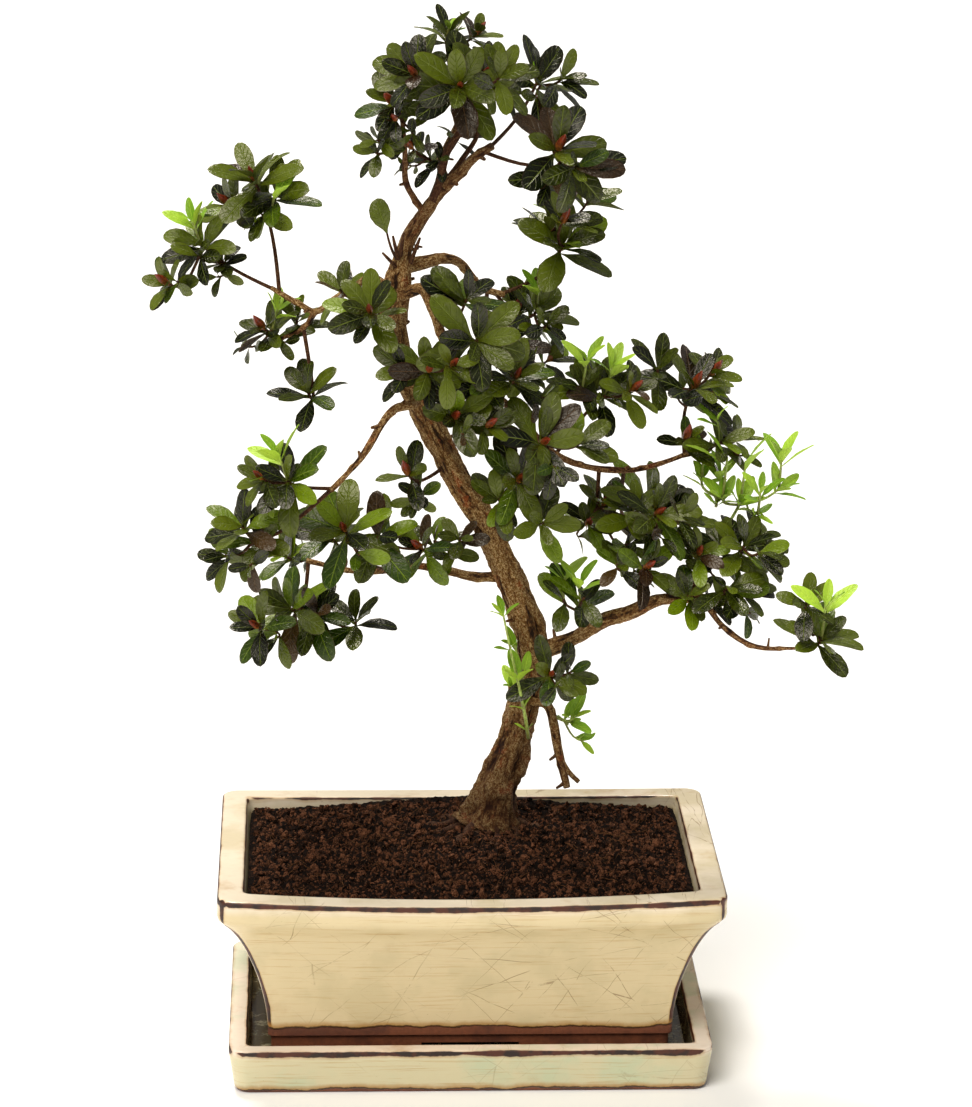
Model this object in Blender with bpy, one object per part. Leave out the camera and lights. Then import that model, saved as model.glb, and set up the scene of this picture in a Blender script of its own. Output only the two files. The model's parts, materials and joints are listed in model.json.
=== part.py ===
"""Azalea bonsai in a glazed pot on its drip tray.

Run with: blender --background --python part.py

Every length below is in millimetres, and is turned into metres as the meshes are made.
The origin is the middle of the tray's underside. +X is the tree's right, +Y its back, +Z is up.

The tree is a chain of one rule used at three sizes. A bough springs from the trunk, a foliage
mass springs from a bough, and a twig springs from the wood of its own mass: each starts at the
nearest wood, a little below the nearest point, and curves up to where it has to go.
"""
import math
import random
from typing import NamedTuple

import bmesh
import bpy
from mathutils import Vector
from mathutils.bvhtree import BVHTree
from mathutils.geometry import interpolate_bezier

MM = 0.001
GAP = 0.3                       # clearance kept between pieces that touch
CUT_GAP = 0.36                  # the same where one is cut clear of a many-sided tube
WELD = 1e-6                     # merge distance, in metres
CORNER_STEPS = 2                # parts in each round corner of the pot and the tray
SIDE_STEPS = 4                  # parts along each of their long sides
LIGHT = Vector((0.0, -0.45, 0.8))     # the shoots turn up and towards the tree's front
GOLDEN_TURN = math.pi * (3.0 - math.sqrt(5.0))

# ---- drip tray ----------------------------------------------------------------------------
TRAY_LENGTH = 240.0
TRAY_DEPTH = 157.5
TRAY_HEIGHT = 22.8
TRAY_RIM = 9.0                  # width of the flat top of its wall
TRAY_DRAFT = 2.8                # how far the wall leans in on its way down
TRAY_FLOOR = 6.5
TRAY_CORNER = 9.0
TRAY_EDGE = 0.8                 # rounding of the rim's edges

# ---- pot ----------------------------------------------------------------------------------
POT_LENGTH = 250.0
POT_DEPTH = 170.0
POT_HEIGHT = 104.0              # height of the rim above the ground
POT_RIM = 13.0                  # width of the flat top of the rim
POT_CORNER = 8.0
POT_BAND = 91.0                 # underside of the rim's upright band
POT_WAIST = 28.0                # height where the hollow flank ends
POT_FLANK = 24.3                # how far the flank draws in below the band
FLANK_CURVE = (1.6, 0.68)       # powers that shape its hollow: near the waist, near the band
POT_STEP = 24.0                 # top of the bare foot
POT_FOOT_INSET = 1.6
POT_WALL = 7.0
POT_FLOOR = 33.0
INSIDE_HEIGHTS = (80.0, 58.0)   # where the inside follows the flank, on its way down
LEAST_CORNER = 3.0              # the corners' rounding where the pot is narrowest
CORNER_SHRINK = 0.3             # how much of its inset a corner's rounding loses
POT_BOW = 5.0                   # outward bow of the long sides at the rim
POT_SAG = 2.0                   # dip of the rim in the middle of the long sides
POT_EDGE = 1.4                  # rounding of the rim's edges
FLANK_STEPS = 6
ARCH_LENGTH = 54.0              # opening between the feet, on the long sides
ARCH_DEPTH = 46.0               # the same, on the short sides
ARCH_HEIGHT = 13.0

# ---- soil ---------------------------------------------------------------------------------
SOIL_EDGE = 98.5                # height of the soil along the pot's walls
SOIL_BACK = 5.0                 # how much higher it lies in the middle of the back wall
SOIL_BACK_REACH = 55.0          # how far to the sides it lies higher
SOIL_LUMP = 0.7                 # height of the low waves in the soil
SOIL_WAVES = (9.0, 7.0)         # their lengths along X and along Y, over one radian
SOIL_SEAT = 104.7               # height of the flat that the trunk stands on
SEAT_RADIUS = 21.0
SOIL_STEPS = 4

# ---- trunk --------------------------------------------------------------------------------
TRUNK_BASE = SOIL_SEAT + GAP
TRUNK_SIDES = 12
TRUNK_STEP = 15.0               # distance between the rings of its mesh
FLARE_WIDTH = 9.0               # how much wider the root flare is at the soil
FLARE_HEIGHT = 7.0
FLARE_RING = 0.35               # place of an extra ring, as a share of the way to the second
TRUNK_ROUTE = (
    (13, 30, TRUNK_BASE), (17, 29, 127), (24, 27, 148), (29, 25, 172), (33, 22, 195),
    (31, 20, 212), (22, 17, 235), (10, 12, 265), (-7, 6, 295), (-23, 2, 328), (-35, 0, 354),
    (-38, 0, 372), (-36, 0, 394), (-32, 0, 411), (-23, 0, 428), (-12, 0, 443),
)
TRUNK_WIDTHS = (23, 19, 16.5, 16, 16, 15, 14, 13.5, 12.5, 12.5, 11.5, 11.5, 13.5, 9.5, 8, 6.5)

# ---- boughs -------------------------------------------------------------------------------
BOUGH_SIDES = 6
BOUGH_STEP = 11.0


class Bough(NamedTuple):
    """A bough: where it leads after it leaves its parent, and its width from start to tip."""

    name: str
    parent: str
    route: tuple
    widths: tuple


BOUGHS = (
    Bough("bough_crown_left", "trunk", ((-32, -4, 443), (-33, -8, 460), (-34, -12, 475)),
          (3.2, 1.9)),
    Bough("bough_crown_middle", "trunk", ((-15, 6, 450), (-12, 12, 458), (-4, 18, 474)),
          (4.6, 2.5)),
    Bough("bough_crown_right", "trunk", ((-6, -4, 448), (0, -8, 456), (9, -12, 463)),
          (5.2, 3.8)),
    Bough("bough_right_arch", "trunk",
          ((-23, 2, 403), (-14, 6, 404), (-6, 12, 401), (0, 18, 393), (7, 24, 385), (17, 28, 381)),
          (6.5, 3.2)),
    Bough("bough_hook", "trunk",
          ((-24, -16, 393), (-19, -22, 384), (-15, -24, 372), (-7, -24, 359), (5, -20, 345)),
          (5.8, 4.4)),
    Bough("bough_right_middle", "bough_hook",
          ((20, -14, 333), (38, -5, 311), (58, 1, 300), (85, 8, 297), (109, 16, 303)),
          (4.4, 2.4)),
    Bough("bough_left_upper", "trunk",
          ((-48, 6, 394), (-59, 10, 388), (-76, 17, 375), (-84, 20, 378), (-98, 26, 385)),
          (5.2, 2.2)),
    Bough("bough_left_fork", "bough_left_upper", ((-82, 20, 366), (-100, 24, 357)), (2.6, 1.7)),
    Bough("bough_left_middle", "trunk",
          ((-30, -13, 335), (-38, -18, 334), (-44, -24, 328), (-55, -35, 313), (-69, -44, 300)),
          (5.0, 2.6)),
    Bough("bough_left_lower", "trunk",
          ((1, 18, 239), (-10, 20, 241), (-24, 22, 243), (-53, 26, 239), (-81, 30, 244)),
          (5.4, 2.4)),
    Bough("bough_right_lower", "trunk",
          ((47, 16, 204), (56, 8, 211), (66, 0, 220), (81, -8, 228), (95, -14, 236),
           (116, -20, 238)),
          (9.4, 8.0, 7.6, 7.4, 6.2, 4.2)),
    Bough("bough_right_riser", "bough_right_lower", ((113, -14, 250), (117, -8, 260)),
          (4.2, 2.8)),
    Bough("bough_right_tip", "bough_right_lower",
          ((124, -26, 226), (135, -32, 219), (145, -36, 217), (163, -42, 219)), (3.2, 1.7)),
    Bough("stub_pruned", "trunk", ((41, 12, 172), (46, 3, 150), (50, 0, 133)), (6.0, 3.2)),
)

# ---- foliage masses -----------------------------------------------------------------------
SPRING_LAG = 0.35               # how far below the nearest point a shoot springs, per its length
LOWEST_SPRING = 0.15            # lowest place on its wood where a shoot springs, as a share
SPRING_STEP = 0.5               # how far a root moves down while it is too close to another
TIP_HOLD = 1.5                  # how far a stem reaches into the tip that it grows from
STEM_SPACING = 3.5              # least distance between the roots of two stems
STEM_WIDTH = 2.4
TWIG_WIDTH = 1.9
TWIG_SIDES = 3
TWIG_BEND = 0.45                # where a twig turns to its end's own way, back from its tip
TWIG_LEAN = 0.6                 # how far on from its root it keeps its first way, as a share
STEM_PARTS = 4                  # straight parts in the stem of a mass
TWIG_PARTS = 2                  # straight parts in its side twigs
ROSETTE_LEAVES = 5
LARGE_LEAF = 22.0               # a mass with shorter leaves has one leaf less in a rosette
LEAF_WIDTH = 0.58               # widest part of a leaf, as a share of its length
LEAF_SPACING = 1.7              # distance between leaves along their shoot
LEAF_TILTS = (82.0, 50.0)       # angle between shoot and leaf, lowest and highest, in degrees
LEAF_WIDEST = 0.62              # place of the widest part along a leaf, as a share
LEAF_BLUNT = 0.42               # width of its blunt tip, as a share of its widest part
LEAF_RIDGE = 0.3                # place where its rib is thickest, along the leaf
LEAF_THICKNESS = 1.0
LEAF_SINK = 0.4                 # how far its root lies beyond the middle of its twig
LEAF_SAMPLING = 1.5             # allowance for the distance between the points tried on a leaf
LEAF_SWINGS = (0, 25, -25, 50, -50)  # turns about its shoot that a leaf tries, in degrees
HEART_LIFT = 0.25               # height of a mass's middle over its heart, as a share of a leaf
CELL_LEAF = 0.75                # what a leaf adds to the size of its mass's space, likewise
SIDE_SHOOT = 0.82               # leaves of the side shoots, as a share of the middle one's
SIDE_VARIATION = (0.9, 1.1)     # least and greatest leaves among them, as a share of that
SHOOT_DRIFT = 1.5               # how far a shoot's height strays
OUTWARD_PULL = 0.45             # how much a shoot turns away from the trunk, against LIGHT
SPREAD_PULL = 0.3               # how much it turns away from its mass's heart
CELL_MARGIN = 0.25              # distance that a mass keeps from the bounds of its space
WOOD_MARGIN = 1.0               # distance that leaves and twigs keep from other wood


class Mass(NamedTuple):
    """A foliage mass: the wood it springs from, the place of its middle shoot, how far its
    side shoots spread from there (a negative height is a rise), leaf length, shoots and turn.
    """

    name: str
    parent: str
    heart: tuple
    spread: tuple
    leaf: float
    shoots: int
    turn: float


MASSES = (
    Mass("crown_top", "bough_crown_middle", (-12, 16, 511), (14, 10, -2), 21, 2, 222),
    Mass("crown_front", "bough_crown_middle", (-4, -12, 488), (26, 18, -6), 29, 4, 262),
    Mass("crown_right", "bough_crown_right", (32, 14, 489), (12, 10, -4), 24, 2, 203),
    Mass("crown_left", "bough_crown_left", (-39, -16, 486), (9, 9, 24), 19, 4, 147),
    Mass("crown_inner", "bough_crown_middle", (-21, 8, 454), (16, 14, -12), 16, 3, 85),
    Mass("crown_right_end", "bough_crown_right", (40, -26, 464), (12, 10, 8), 27, 2, 178),
    Mass("right_shoulder", "bough_right_arch", (47, 40, 403), (18, 16, -22), 27, 4, 350),
    Mass("right_upper", "bough_right_arch", (34, 36, 371), (16, 14, 4), 25, 3, 10),
    Mass("right_upper_front", "bough_hook", (2, -34, 373), (10, 14, -18), 29, 2, 343),
    Mass("centre_front", "trunk", (-22, -36, 358), (16, 10, -4), 22, 3, 40),
    Mass("centre", "bough_hook", (21, -20, 350), (18, 12, 0), 25, 3, 300),
    Mass("centre_low", "bough_hook", (-9, -32, 334), (16, 8, 6), 25, 2, 222),
    Mass("centre_hanging", "bough_right_middle", (23, -20, 299), (14, 12, 20), 26, 3, 55),
    Mass("right_middle_front", "bough_right_middle", (34, -30, 321), (18, 8, 2), 28, 2, 222),
    Mass("right_middle", "bough_right_middle", (67, 8, 336), (20, 14, -6), 22, 4, 45),
    Mass("right_middle_top", "bough_right_middle", (112, 26, 333), (18, 14, -12), 27, 3, 265),
    Mass("right_middle_end", "bough_right_middle", (126, 18, 309), (18, 12, 0), 21, 3, 265),
    Mass("right_inner", "bough_right_middle", (67, 10, 278), (14, 14, 20), 20, 3, 75),
    Mass("right_crown", "bough_right_riser", (91, -18, 282), (18, 12, 2), 27, 3, 210),
    Mass("right_crown_end", "bough_right_riser", (136, -8, 261), (26, 22, 0), 24, 5, 15),
    Mass("right_young", "bough_right_riser", (136, 14, 277), (24, 10, -12), 18, 4, 90),
    Mass("right_low_inner", "bough_right_lower", (86, -22, 256), (14, 8, 0), 20, 2, 42),
    Mass("right_low", "bough_right_lower", (127, -24, 244), (20, 12, 2), 24, 3, 270),
    Mass("right_tip", "bough_right_tip", (172, -42, 222), (8, 8, -20), 24, 2, 42),
    Mass("trunk_right", "bough_right_lower", (55, -10, 232), (16, 8, -6), 24, 3, 0),
    Mass("trunk_low_right", "trunk", (41, -6, 195), (10, 8, 0), 22, 2, 222),
    Mass("basal_left", "trunk", (24, 4, 184), (7, 6, -20), 16, 3, 180),
    Mass("basal_right", "stub_pruned", (53, 2, 169), (8, 6, 6), 17, 2, 330),
    Mass("lower_left_top", "bough_left_middle", (-90, -48, 307), (12, 8, 0), 24, 2, 42),
    Mass("lower_left_outer", "bough_left_middle", (-112, -44, 282), (12, 10, 16), 23, 3, 220),
    Mass("lower_left_front", "bough_left_lower", (-62, -22, 274), (16, 10, 2), 30, 2, 222),
    Mass("lower_left_low", "bough_left_lower", (-89, 14, 225), (34, 18, 8), 26, 5, 185),
    Mass("left_low_inner", "bough_left_lower", (-24, 8, 258), (22, 12, -4), 20, 4, 280),
    Mass("trunk_left", "trunk", (-31, -12, 300), (6, 6, 12), 20, 2, 222),
    Mass("left_hanging", "bough_left_fork", (-80, 18, 334), (0, 0, 0), 22, 1, 0),
    Mass("left_inner", "bough_left_fork", (-98, 28, 363), (14, 10, -4), 20, 3, 110),
    Mass("left_far", "bough_left_upper", (-133, 30, 407), (16, 12, 20), 22, 4, 125),
    Mass("left_top", "bough_left_upper", (-106, 30, 438), (15, 8, 14), 28, 3, 222),
    Mass("left_near", "bough_left_upper", (-50, -34, 386), (20, 34, -5), 25, 2, 358),
    Mass("back_upper", "bough_right_arch", (19, 62, 348), (24, 14, 8), 27, 2, 240),
    Mass("back_right", "bough_right_middle", (94, 60, 267), (26, 16, 10), 27, 2, 10),
    Mass("back_left", "bough_left_lower", (-69, 66, 247), (26, 16, 8), 27, 2, 75),
)

# ---- colours: base colour, roughness ------------------------------------------------------
GLAZE = ((0.72, 0.62, 0.40, 1.0), 0.25)
EARTH = ((0.030, 0.018, 0.012, 1.0), 0.95)
BARK = ((0.20, 0.12, 0.075, 1.0), 0.85)
FOLIAGE = ((0.035, 0.085, 0.022, 1.0), 0.40)


# ==== scene helpers ========================================================================
def clear_scene():
    """Remove every object that the scene starts with."""
    for item in list(bpy.data.objects):
        bpy.data.objects.remove(item, do_unlink=True)


def new_collection(name):
    """Add a collection under the scene."""
    collection = bpy.data.collections.new(name)
    bpy.context.scene.collection.children.link(collection)
    return collection


def new_material(name, finish):
    """Make a Principled material from a base colour and a roughness."""
    colour, roughness = finish
    material = bpy.data.materials.new(name)
    material.use_nodes = True
    shader = material.node_tree.nodes["Principled BSDF"]
    shader.inputs["Base Color"].default_value = colour
    shader.inputs["Roughness"].default_value = roughness
    shader.inputs["Metallic"].default_value = 0.0
    return material


def add_mesh(name, bm, collection):
    """Turn a bmesh into a named object, with its faces pointing out."""
    bmesh.ops.recalc_face_normals(bm, faces=bm.faces)
    mesh = bpy.data.meshes.new(name)
    bm.to_mesh(mesh)
    bm.free()
    item = bpy.data.objects.new(name, mesh)
    collection.objects.link(item)
    return item


def finish_piece(item, finish, sharp_angle=math.radians(40)):
    """Give a piece its own material and smooth shading between its sharp edges."""
    item.data.materials.clear()
    item.data.materials.append(new_material(item.name, finish))
    item.data.shade_smooth()
    item.data.set_sharp_from_angle(angle=sharp_angle)


def apply_modifiers(item):
    """Replace an object's mesh by what its modifiers make of it."""
    graph = bpy.context.evaluated_depsgraph_get()
    mesh = bpy.data.meshes.new_from_object(item.evaluated_get(graph))
    old = item.data
    item.modifiers.clear()
    item.data = mesh
    mesh.name = item.name
    bpy.data.meshes.remove(old)


def cut(item, cutter):
    """Take the cutter's volume away from a piece, and remove the cutter."""
    modifier = item.modifiers.new("cut", "BOOLEAN")
    modifier.operation = "DIFFERENCE"
    modifier.solver = "EXACT"
    modifier.object = cutter
    apply_modifiers(item)
    bpy.data.objects.remove(cutter, do_unlink=True)


def keep_largest(item):
    """Drop every loose scrap of a piece but its largest body."""
    bm = bmesh.new()
    bm.from_mesh(item.data)
    bodies = []
    unseen = set(bm.verts)
    while unseen:
        reached = {unseen.pop()}
        edge_of_body = list(reached)
        while edge_of_body:
            vert = edge_of_body.pop()
            for edge in vert.link_edges:
                other = edge.other_vert(vert)
                if other not in reached:
                    reached.add(other)
                    edge_of_body.append(other)
        unseen -= reached
        bodies.append(reached)
    bodies.sort(key=len)
    for scrap in bodies[:-1]:
        bmesh.ops.delete(bm, geom=list(scrap), context="VERTS")
    bm.to_mesh(item.data)
    bm.free()


# ==== pot, tray and soil ===================================================================
def rounded_outline(half_length, half_depth, corner, bow=0.0):
    """Return a rounded rectangle, counter-clockwise, whose long sides bow out."""
    points = []
    corners = ((1, -1, -90), (1, 1, 0), (-1, 1, 90), (-1, -1, 180))
    for side_x, side_y, start in corners:
        centre_x = side_x * (half_length - corner)
        centre_y = side_y * (half_depth - corner)
        for step in range(CORNER_STEPS + 1):
            angle = math.radians(start + 90.0 * step / CORNER_STEPS)
            points.append((centre_x + corner * math.cos(angle),
                           centre_y + corner * math.sin(angle)))
        if side_x == side_y:
            run = -2.0 * centre_x / SIDE_STEPS
            for step in range(1, SIDE_STEPS):
                points.append((centre_x + run * step, side_y * half_depth))
    bowed = []
    for x, y in points:
        swell = bow * (1.0 - (x / half_length) ** 2)
        bowed.append((x, y + math.copysign(swell, y)))
    return bowed


def level_ring(outline, height, sag=0.0, half_length=1.0):
    """Lift an outline to a height, with a dip in the middle of its length."""
    return [(x, y, height - sag * (1.0 - (x / half_length) ** 2)) for x, y in outline]


def loft(name, rings, collection):
    """Skin a stack of rings that have equally many points, and close both of its ends."""
    bm = bmesh.new()
    rows = [[bm.verts.new(Vector(point) * MM) for point in ring] for ring in rings]
    count = len(rows[0])
    for lower, upper in zip(rows, rows[1:]):
        for i in range(count):
            j = (i + 1) % count
            bm.faces.new((lower[i], lower[j], upper[j], upper[i]))
    bm.faces.new(list(reversed(rows[0])))
    bm.faces.new(rows[-1])
    return add_mesh(name, bm, collection)


def flank_inset(height):
    """Return how far the pot's hollow flank lies inside its rim at a height."""
    share = (height - POT_WAIST) / (POT_BAND - POT_WAIST)
    return POT_FLANK * (1.0 - share ** FLANK_CURVE[0]) ** FLANK_CURVE[1]


def pot_ring(inset, height):
    """Return the pot's outline at a height, with the bow and sag that grow towards its rim."""
    warp = max(0.0, (height - POT_WAIST) / (POT_HEIGHT - POT_WAIST))
    half_length = POT_LENGTH / 2 - inset
    half_depth = POT_DEPTH / 2 - inset
    corner = max(LEAST_CORNER, POT_CORNER - CORNER_SHRINK * inset)
    outline = rounded_outline(half_length, half_depth, corner, POT_BOW * warp)
    return level_ring(outline, height, POT_SAG * warp, half_length)


def cavity_rings(clearance=0.0):
    """Return the rings of the pot's inside, floor last, shrunk by a clearance."""
    depths = [(POT_RIM + 1.2, POT_HEIGHT - 8.0)]
    depths += [(flank_inset(height) + POT_WALL, height) for height in INSIDE_HEIGHTS]
    depths += [(POT_FLANK + POT_WALL, POT_FLOOR + clearance)]
    return [pot_ring(inset + clearance, height) for inset, height in depths]


def make_pot(collection):
    """Build the pot: foot, hollow flank, upright rim band, and the inside down to its floor."""
    foot_inset = POT_FLANK + POT_FOOT_INSET
    rings = [
        pot_ring(foot_inset + 1.0, TRAY_FLOOR + GAP),
        pot_ring(foot_inset, TRAY_FLOOR + GAP + 1.0),
        pot_ring(foot_inset, POT_STEP - 0.8),
        pot_ring(POT_FLANK, POT_STEP),
    ]
    for step in range(FLANK_STEPS):
        height = POT_WAIST + (POT_BAND - 1.5 - POT_WAIST) * (step / (FLANK_STEPS - 1)) ** 0.75
        rings.append(pot_ring(flank_inset(height), height))
    rings += [
        pot_ring(0.4, POT_BAND + 1.2),
        pot_ring(0.0, POT_BAND + 3.5),
        pot_ring(0.0, POT_HEIGHT - POT_EDGE * 1.6),
        pot_ring(POT_EDGE * 0.4, POT_HEIGHT - POT_EDGE * 0.5),
        pot_ring(POT_EDGE * 1.2, POT_HEIGHT),
        pot_ring(POT_RIM - POT_EDGE, POT_HEIGHT),
        pot_ring(POT_RIM, POT_HEIGHT - POT_EDGE),
    ]
    rings += cavity_rings()
    pot = loft("pot", rings, collection)
    cut_foot_arch(pot, ARCH_LENGTH, 2 * POT_DEPTH, collection)
    cut_foot_arch(pot, 2 * POT_LENGTH, ARCH_DEPTH, collection)
    finish_piece(pot, GLAZE)


def cut_foot_arch(pot, length, depth, collection):
    """Cut one of the two crossing gaps that leave the pot standing on four feet."""
    bpy.ops.mesh.primitive_cube_add(size=1.0, location=(0.0, 0.0, TRAY_FLOOR * MM))
    cutter = bpy.context.object
    cutter.name = "foot_arch"
    cutter.data.transform(
        ((length * MM, 0, 0, 0), (0, depth * MM, 0, 0), (0, 0, 2 * ARCH_HEIGHT * MM, 0),
         (0, 0, 0, 1)))
    for owner in cutter.users_collection:
        owner.objects.unlink(cutter)
    collection.objects.link(cutter)
    cut(pot, cutter)


def make_tray(collection):
    """Build the drip tray: a shallow rectangular dish with a broad flat rim."""

    def ring(inset, height):
        corner = max(2.0, TRAY_CORNER - 0.6 * inset)
        return level_ring(rounded_outline(TRAY_LENGTH / 2 - inset, TRAY_DEPTH / 2 - inset,
                                          corner), height)

    rings = [
        ring(TRAY_DRAFT + 1.6, 0.0),
        ring(TRAY_DRAFT + 0.3, 1.2),
        ring(TRAY_DRAFT - 0.4, 3.0),
        ring(0.0, TRAY_HEIGHT - 2 * TRAY_EDGE),
        ring(TRAY_EDGE, TRAY_HEIGHT),
        ring(TRAY_RIM - TRAY_EDGE, TRAY_HEIGHT),
        ring(TRAY_RIM, TRAY_HEIGHT - TRAY_EDGE),
        ring(TRAY_RIM + 1.0, TRAY_FLOOR + 1.5),
        ring(TRAY_RIM + 2.5, TRAY_FLOOR),
    ]
    tray = loft("drip_tray", rings, collection)
    finish_piece(tray, GLAZE)


def soil_height(x, y, share):
    """Return the soil's height, from the wall (share 0) to the trunk's seat (share 1)."""
    back = max(0.0, y / (POT_DEPTH / 2)) * math.exp(-(x / SOIL_BACK_REACH) ** 2)
    edge = SOIL_EDGE + SOIL_BACK * back
    rise = math.sin(0.5 * math.pi * share)
    waves = math.sin(x / SOIL_WAVES[0]) * math.sin(y / SOIL_WAVES[1])
    lumps = SOIL_LUMP * waves * math.sin(math.pi * share)
    return edge + (SOIL_SEAT - edge) * rise + lumps


def make_soil(collection):
    """Build the soil: it fills the pot and rises to a flat seat under the trunk."""
    rings = list(reversed(cavity_rings(2.0 * GAP)))
    wall = [(x, y) for x, y, _ in rings[-1]]
    seat_x, seat_y = TRUNK_ROUTE[0][:2]
    for step in range(SOIL_STEPS + 1):
        share = step / SOIL_STEPS
        ring = []
        for x, y in wall:
            reach = math.hypot(x - seat_x, y - seat_y)
            near_x = seat_x + (x - seat_x) * SEAT_RADIUS / reach
            near_y = seat_y + (y - seat_y) * SEAT_RADIUS / reach
            here_x = x + (near_x - x) * share
            here_y = y + (near_y - y) * share
            ring.append((here_x, here_y, soil_height(here_x, here_y, share)))
        rings.append(ring)
    soil = loft("soil", rings, collection)
    finish_piece(soil, EARTH)


# ==== wood =================================================================================
class Wood(NamedTuple):
    """A piece of wood as a centre line with a radius at each point, and its tube's sides."""

    points: list
    radii: list
    sides: int


def smooth_route(route, widths, step, sides):
    """Return wood along a smooth curve through a few points, with rings a step apart."""
    knots = [Vector(point) for point in route]
    last = len(knots) - 1
    points = []
    radii = []
    for i in range(last):
        before = knots[max(i - 1, 0)]
        after = knots[min(i + 2, last)]
        handle_a = knots[i] + (knots[i + 1] - before) / 6.0
        handle_b = knots[i + 1] - (after - knots[i]) / 6.0
        parts = max(1, round((knots[i + 1] - knots[i]).length / step))
        curve = interpolate_bezier(knots[i], handle_a, handle_b, knots[i + 1], parts + 1)
        for part in range(parts + (i == last - 1)):
            points.append(curve[part])
            radii.append(width_at(widths, (i + part / parts) / last) / 2)
    return Wood(points, radii, sides)


def width_at(widths, share):
    """Read a width from a row of widths that are spread evenly over a length."""
    place = share * (len(widths) - 1)
    index = min(int(place), len(widths) - 2)
    return widths[index] + (widths[index + 1] - widths[index]) * (place - index)


def nearest_place(wood, target):
    """Return the place along some wood, counted in its points, that is nearest to a target."""
    best = (math.inf, 0.0)
    for i in range(len(wood.points) - 1):
        start = wood.points[i]
        along = wood.points[i + 1] - start
        share = max(0.0, min(1.0, (target - start).dot(along) / along.length_squared))
        distance = (target - start - along * share).length
        best = min(best, (distance, i + share))
    return best[1], best[0]


def point_at(wood, place):
    """Return the point on a centre line at a place counted in its points."""
    index = min(int(place), len(wood.points) - 2)
    return wood.points[index].lerp(wood.points[index + 1], place - index)


def spring_point(wood, target, earlier=()):
    """Return where a shoot leaves some wood for a target: nearest, then a little lower.

    It moves on down the wood while it would start too close to an earlier stem.
    """
    place, distance = nearest_place(wood, target)
    last = len(wood.points) - 1
    step = (wood.points[-1] - wood.points[0]).length / last
    if place > last - 0.05:
        place = last - min(0.5, TIP_HOLD / step)
    else:
        place = max(LOWEST_SPRING * last, place - SPRING_LAG * distance / step)
    root = point_at(wood, place)
    while place > 0.1 and any((root - stem.points[0]).length < STEM_SPACING for stem in earlier):
        place -= SPRING_STEP / step
        root = point_at(wood, place)
    return root


def round_section(sides):
    """Return a curve object with the section of a tube of radius 1 mm."""
    ring = bpy.data.curves.new("section", "CURVE")
    ring.dimensions = "2D"
    spline = ring.splines.new("POLY")
    spline.points.add(sides - 1)
    for i, point in enumerate(spline.points):
        angle = 2.0 * math.pi * i / sides
        point.co = (MM * math.cos(angle), MM * math.sin(angle), 0.0, 1.0)
    spline.use_cyclic_u = True
    return bpy.data.objects.new("section", ring)


def tube(name, wood, collection, extra=0.0):
    """Make a closed tube along some wood, fattened and drawn out by an extra distance."""
    points = [point.copy() for point in wood.points]
    points[0] += (points[0] - points[1]).normalized() * extra
    points[-1] += (points[-1] - points[-2]).normalized() * extra
    section = round_section(wood.sides)
    path = bpy.data.curves.new(name, "CURVE")
    path.dimensions = "3D"
    path.bevel_mode = "OBJECT"
    path.bevel_object = section
    path.use_fill_caps = True
    line = path.splines.new("POLY")
    line.points.add(len(points) - 1)
    for point, place, radius in zip(line.points, points, wood.radii):
        point.co = (*(place * MM), 1.0)
        point.radius = radius + extra
    curve = bpy.data.objects.new(name, path)
    for item in (section, curve):
        collection.objects.link(item)
    graph = bpy.context.evaluated_depsgraph_get()
    mesh = bpy.data.meshes.new_from_object(curve.evaluated_get(graph))
    bpy.data.objects.remove(curve, do_unlink=True)
    bpy.data.objects.remove(section, do_unlink=True)
    bm = bmesh.new()
    bm.from_mesh(mesh)
    bpy.data.meshes.remove(mesh)
    bmesh.ops.remove_doubles(bm, verts=bm.verts, dist=WELD)
    return add_mesh(name, bm, collection)


def gap_between(wood, other):
    """Return the smallest distance between the surfaces of two pieces of wood."""
    gap = math.inf
    for point, radius in zip(wood.points, wood.radii):
        place, distance = nearest_place(other, point)
        gap = min(gap, distance - radius - width_at(other.radii, place / (len(other.points) - 1)))
    return gap


def cut_clear(item, wood, near_wood, collection):
    """Cut a piece clear of every piece of wood that its own wood comes close to."""
    for other in near_wood:
        if gap_between(wood, other) < 2.0 * GAP:
            cut(item, tube("cutter", other, collection, CUT_GAP))
            keep_largest(item)


def make_trunk(collection):
    """Build the trunk, from its flat cut at the soil to the fork in the crown."""
    wood = smooth_route(TRUNK_ROUTE, TRUNK_WIDTHS, TRUNK_STEP, TRUNK_SIDES)
    foot = wood.points[0].copy()
    wood.points.insert(1, foot.lerp(wood.points[1], FLARE_RING))
    wood.radii.insert(1, width_at(wood.radii[:2], FLARE_RING))
    for i, point in enumerate(wood.points):
        wood.radii[i] += 0.5 * FLARE_WIDTH * math.exp(-(point.z - foot.z) / FLARE_HEIGHT)
    trunk = tube("trunk", wood, collection)
    flatten_below(trunk, TRUNK_BASE)
    finish_piece(trunk, BARK)
    return wood


def flatten_below(item, height):
    """Set the lowest ring of a leaning piece level, at a height."""
    bm = bmesh.new()
    bm.from_mesh(item.data)
    lowest = sorted(bm.verts, key=lambda vert: vert.co.z)[:TRUNK_SIDES]
    for vert in lowest:
        vert.co.z = height * MM
    bm.to_mesh(item.data)
    bm.free()


def make_bough(bough, woods, collection):
    """Build one bough and cut its root clear of what it springs from."""
    parent = woods[bough.parent]
    root = spring_point(parent, Vector(bough.route[0]))
    wood = smooth_route((root, *bough.route), bough.widths, BOUGH_STEP, BOUGH_SIDES)
    item = tube(bough.name, wood, collection)
    cut_clear(item, wood, woods.values(), collection)
    finish_piece(item, BARK)
    return wood


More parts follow.
